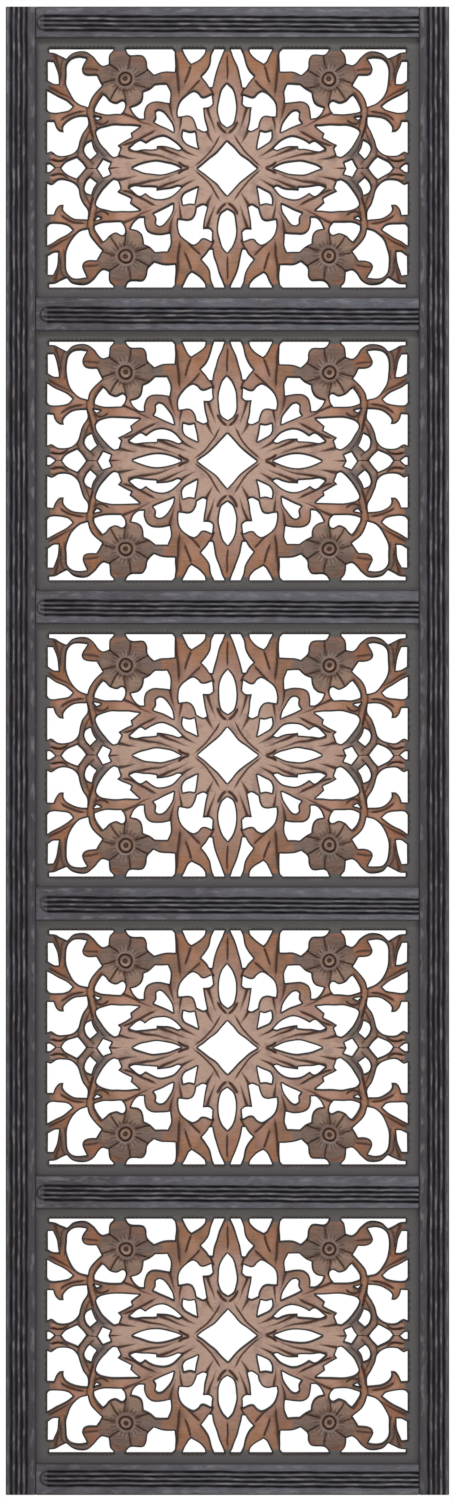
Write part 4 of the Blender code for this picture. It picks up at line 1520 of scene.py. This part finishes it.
@dataclass(frozen=True)
class FrameFinish(WoodFinish):
    """Blue-black stain, rubbed grey on the reeds, with painted shade making the grooves and the members'
    edges nearly black and a painted bluish sheen towards the rails' right ends.
    """

    stain: Colour = colour(0.039, 0.034, 0.042)
    pale: Colour = colour(0.088, 0.082, 0.101)
    rubbed: Colour = colour(0.215, 0.196, 0.214)
    dark: Colour = colour(0.0120, 0.0095, 0.0120)
    brown: Colour = colour(0.058, 0.036, 0.036)
    sheen_blue: Colour = colour(0.124, 0.129, 0.156)
    wear_scale: tuple[float, float, float] = (0.7, 2.0, 2.0)

    def material(self) -> bpy.types.Material:
        """Return the finish as a material."""
        material, kit, shader, vector = self.start()
        grain = kit.place_group(self.grain.group, vector)
        wear = kit.place_group(self.wear.group, kit.scaled_vector(vector, self.wear_scale))
        hollow, edge = kit.mask("hollow"), kit.mask("edge")
        arris = kit.times(kit.spread(edge, 0.12, 0.5), kit.maths("SUBTRACT", 1.0, edge, clamp=True))
        # The reeds and arrises wear lighter; on the rails that wear fades towards the left ends, which is
        # painted shade.
        raised = kit.maths("ADD", kit.times(kit.mask("reed"), 1.1), kit.times(arris, 1.2), clamp=True)
        kit.join(kit.rescaled(raised, 0.8, 0.12), wear.inputs["Raised"])
        wear.inputs["Amount"].default_value = 0.85
        base = kit.mix(kit.spread(grain.outputs["Patches"], 0.35, 0.68), self.stain, self.pale)
        base = kit.paint_over(base, (
            # Painted sheen on the rails, growing towards their right ends.
            (kit.mask("painted_sheen_end"), 0.62, self.sheen_blue),
            (kit.spread(grain.outputs["Streaks"], 0.38, 0.62), 0.5, self.pale),
            (kit.mask("land"), 0.9, self.stain),
            (grain.outputs["Pores"], 0.6, self.dark),
            (wear.outputs["Dusty"], 0.4, self.brown),
            (wear.outputs["Worn"], 1.0, self.rubbed),
            # Painted shadow: each member goes dark right at its edges, where it meets its neighbours.
            (kit.spread(edge, 0.5, 0.92), 1.0, self.dark),
            # Painted shade: the grooves go nearly black where they are deep.
            (kit.spread(hollow, 0.08, 0.58), 1.0, self.dark),
        ))
        kit.join(base, shader.inputs["Base Color"])
        self.surface(kit, shader, grain, vector, 0.0011)
        return material


@dataclass(frozen=True)
class CarvingFinish(WoodFinish):
    """Brown stain, pink and pale at the boards' middles, orange outwards and dark on the margins, with
    painted shade in the hollows, a painted highlight on each flower's boss and the top margin painted lighter
    against the rail's shadow.
    """

    middle: Colour = colour(0.440, 0.285, 0.218)
    between: Colour = colour(0.335, 0.182, 0.132)
    outer: Colour = colour(0.300, 0.129, 0.060)
    rim: Colour = colour(0.262, 0.089, 0.031)
    margin: Colour = colour(0.081, 0.074, 0.075)
    top_margin_painted_light: Colour = colour(0.106, 0.096, 0.096)
    flower: Colour = colour(0.120, 0.080, 0.068)
    blush: Colour = colour(0.175, 0.080, 0.050)
    groove: Colour = colour(0.070, 0.027, 0.015)
    outline: Colour = colour(0.020, 0.014, 0.012)
    side: Colour = colour(0.050, 0.036, 0.029)
    back_dark: Colour = colour(0.075, 0.050, 0.038)
    back_light: Colour = colour(0.150, 0.102, 0.078)
    ash: Colour = colour(0.150, 0.128, 0.132)
    ashen: Colour = colour(0.112, 0.090, 0.082)
    dusky: Colour = colour(0.098, 0.055, 0.037)
    petal_bright: Colour = colour(0.345, 0.215, 0.150)
    rosy: Colour = colour(0.470, 0.245, 0.170)
    collar: Colour = colour(0.255, 0.195, 0.170)
    olive: Colour = colour(0.085, 0.068, 0.045)
    plum: Colour = colour(0.205, 0.120, 0.105)
    pale: Colour = colour(0.520, 0.395, 0.320)

    def material(self) -> bpy.types.Material:
        """Return the finish as a material."""
        material, kit, shader, vector = self.start()
        grain = kit.place_group(self.grain.group, vector)
        wear = kit.place_group(self.wear.group, vector)
        hollow, edge, border = kit.mask("hollow"), kit.mask("edge"), kit.mask("border")
        wander = kit.times(kit.maths("SUBTRACT", kit.noise(vector, 58.0, 3.0), 0.5), 0.4)
        stops = (
            (0.0, self.middle), (0.27, self.middle), (0.4, self.between), (0.53, self.outer), (0.8, self.rim),
        )
        base = kit.ramp(kit.maths("ADD", kit.mask("reach"), wander), stops)
        smoky = kit.spread(kit.noise(vector, 83.0, 4.0), 0.5, 0.66)
        smoky = kit.times(smoky, kit.spread(kit.mask("reach"), 0.3, 0.65))
        streaks = kit.spread(grain.outputs["Streaks"], 0.36, 0.64)
        shade = kit.maths("ADD", border, kit.times(kit.times(wander, border), 2.0), clamp=True)
        ash = kit.times(kit.spread(edge, 0.05, 0.35), kit.times(wear.outputs["Dusty"], 0.85))
        # Painted light: a lighter margin colour on the top margin, against the rail's shadow.
        margin = kit.mix(kit.mask("painted_light_ledge"), self.margin, self.top_margin_painted_light)
        bare = kit.mix(kit.times(streaks, 0.7), self.back_dark, self.back_light)
        base = kit.paint_over(base, (
            (kit.spread(kit.noise(vector, 97.0, 3.0), 0.52, 0.72), 0.55, self.plum),
            (kit.mask("petal"), 0.82, self.flower),
            (kit.mask("blush"), 0.7, self.blush),
            (kit.mask("bright"), 0.85, self.petal_bright),
            (kit.mask("collar"), 0.6, self.collar),
            # Painted highlight on each flower's boss, most below its button.
            (kit.mask("boss"), 0.9, self.petal_bright),
            (smoky, 0.45, self.olive),
            (kit.mask("rosy"), 1.0, self.rosy),
            (kit.mask("ashen"), 1.0, self.ashen),
            (kit.mask("dusky"), 1.0, self.dusky),
            (streaks, 0.1, self.pale),
            (kit.mask("crest"), 0.07, self.pale),
            (grain.outputs["Pores"], 0.4, self.groove),
            (kit.spread(shade, 0.15, 0.85), 1.0, margin),
            # Painted shade: the carving's grooves, creases and recesses are painted dark brown.
            (kit.spread(hollow, 0.04, 0.60), 1.0, self.groove),
            (ash, 1.0, self.ash),
            (kit.spread(edge, 0.16, 0.64), 1.0, self.outline),
            (kit.mask("wall"), 1.0, self.side),
            (kit.mask("rear"), 1.0, bare),
        ))
        kit.join(base, shader.inputs["Base Color"])
        self.surface(kit, shader, grain, vector, 0.0009)
        return material


# Studio

@dataclass
class Studio:
    """The camera square on to the panel, soft light from above and a pale floor below."""

    photo_size: tuple[float, float] = (454.0, 1500.0)
    panel_in_photo: tuple[float, float, float, float] = (5.7, 6.5, 449.2, 1495.1)
    distance: float = 7.0
    sensor: float = 36.0
    floor_drop: float = 0.45
    floor_side: float = 6.0
    ambient: float = 0.45
    lights: tuple[tuple, ...] = (
        ("Key light", (-0.8, -1.7, 1.6), 1.0, 41.5),
        ("Fill light", (0.9, -1.9, -0.9), 1.6, 13.0),
        ("Back light", (1.5, 2.2, 0.6), 1.0, 22.0),
    )

    def camera(self) -> None:
        """Place the camera so that the panel fills the photograph's frame as it does there."""
        low, high = CAD_BOX
        left, top, right, bottom = self.panel_in_photo
        metres_per_pixel = (high[2] - low[2]) / (bottom - top)
        aside = (self.photo_size[0] / 2 - (left + right) / 2) * metres_per_pixel
        raised = ((top + bottom) / 2 - self.photo_size[1] / 2) * metres_per_pixel
        data = bpy.data.cameras.new("Camera")
        data.sensor_fit = "VERTICAL"
        data.sensor_height = self.sensor
        data.lens = self.sensor * self.distance / (self.photo_size[1] * metres_per_pixel)
        camera = bpy.data.objects.new("Camera", data)
        centre = (Vector(low) + Vector(high)) / 2
        camera.location = (centre.x + aside, low[1] - self.distance, centre.z + raised)
        camera.rotation_euler = (math.radians(90), 0.0, 0.0)
        bpy.context.scene.collection.objects.link(camera)
        bpy.context.scene.camera = camera

    def area_light(self, name: str, place: Sequence[float], size: float, power: float) -> None:
        """Add a square soft light that faces the middle of the panel.

        Args:
            name: the light's name.
            place: where it is.
            size: the length of its side.
            power: its power in watts.
        """
        data = bpy.data.lights.new(name, "AREA")
        data.shape = "SQUARE"
        data.size = size
        data.energy = power
        light = bpy.data.objects.new(name, data)
        light.location = place
        aim = Vector((0.0, 0.0, (CAD_BOX[0][2] + CAD_BOX[1][2]) / 2)) - Vector(place)
        light.rotation_euler = aim.to_track_quat("-Z", "Y").to_euler()
        bpy.context.scene.collection.objects.link(light)

    def world(self) -> None:
        """Make the surroundings white to the camera and a soft grey light to the panel."""
        world = bpy.data.worlds.new("Studio")
        bpy.context.scene.world = world
        world.use_nodes = True
        kit = NodeKit(world.node_tree)
        background = world.node_tree.nodes["Background"]
        background.inputs["Color"].default_value = colour(1.0, 1.0, 1.0)
        seen = kit.add("ShaderNodeLightPath").outputs["Is Camera Ray"]
        strength = kit.rescaled(seen, 1.0 - self.ambient, self.ambient)
        kit.join(strength, background.inputs["Strength"])

    def floor(self) -> None:
        """Lay the pale floor below the panel."""
        low = CAD_BOX[0]
        deselect_everything()
        bpy.ops.mesh.primitive_plane_add(size=self.floor_side, location=(0.0, 0.0, low[2] - self.floor_drop))
        bpy.ops.object.transform_apply(location=True, rotation=True, scale=True)
        floor = bpy.context.object
        floor.name = "floor"
        material = bpy.data.materials.new("Pale floor")
        material.use_nodes = True
        shader = material.node_tree.nodes["Principled BSDF"]
        shader.inputs["Base Color"].default_value = colour(0.82, 0.81, 0.79)
        shader.inputs["Roughness"].default_value = 0.8
        floor.data.materials.append(material)

    def build(self) -> None:
        """Set up the whole studio."""
        bpy.context.scene.view_settings.view_transform = "Standard"
        self.camera()
        self.world()
        self.floor()
        for name, place, size, power in self.lights:
            self.area_light(name, place, size, power)


def main() -> None:
    """Build the panel's looks and its studio, in order."""
    logging.basicConfig(level=logging.INFO, format="%(name)s: %(message)s")
    Studio().build()
    grain, wear = WoodGrain(), HandWear()
    upright = FrameFinish("Frame wood upright", grain, wear, turn=math.radians(90)).material()
    level = FrameFinish("Frame wood level", grain, wear).material()
    carved = CarvingFinish("Carved wood", grain, wear, bump=0.22).material()
    ReededFrame().build(upright, level)
    CarvedBoards().build(carved)


if __name__ == "__main__":
    main()
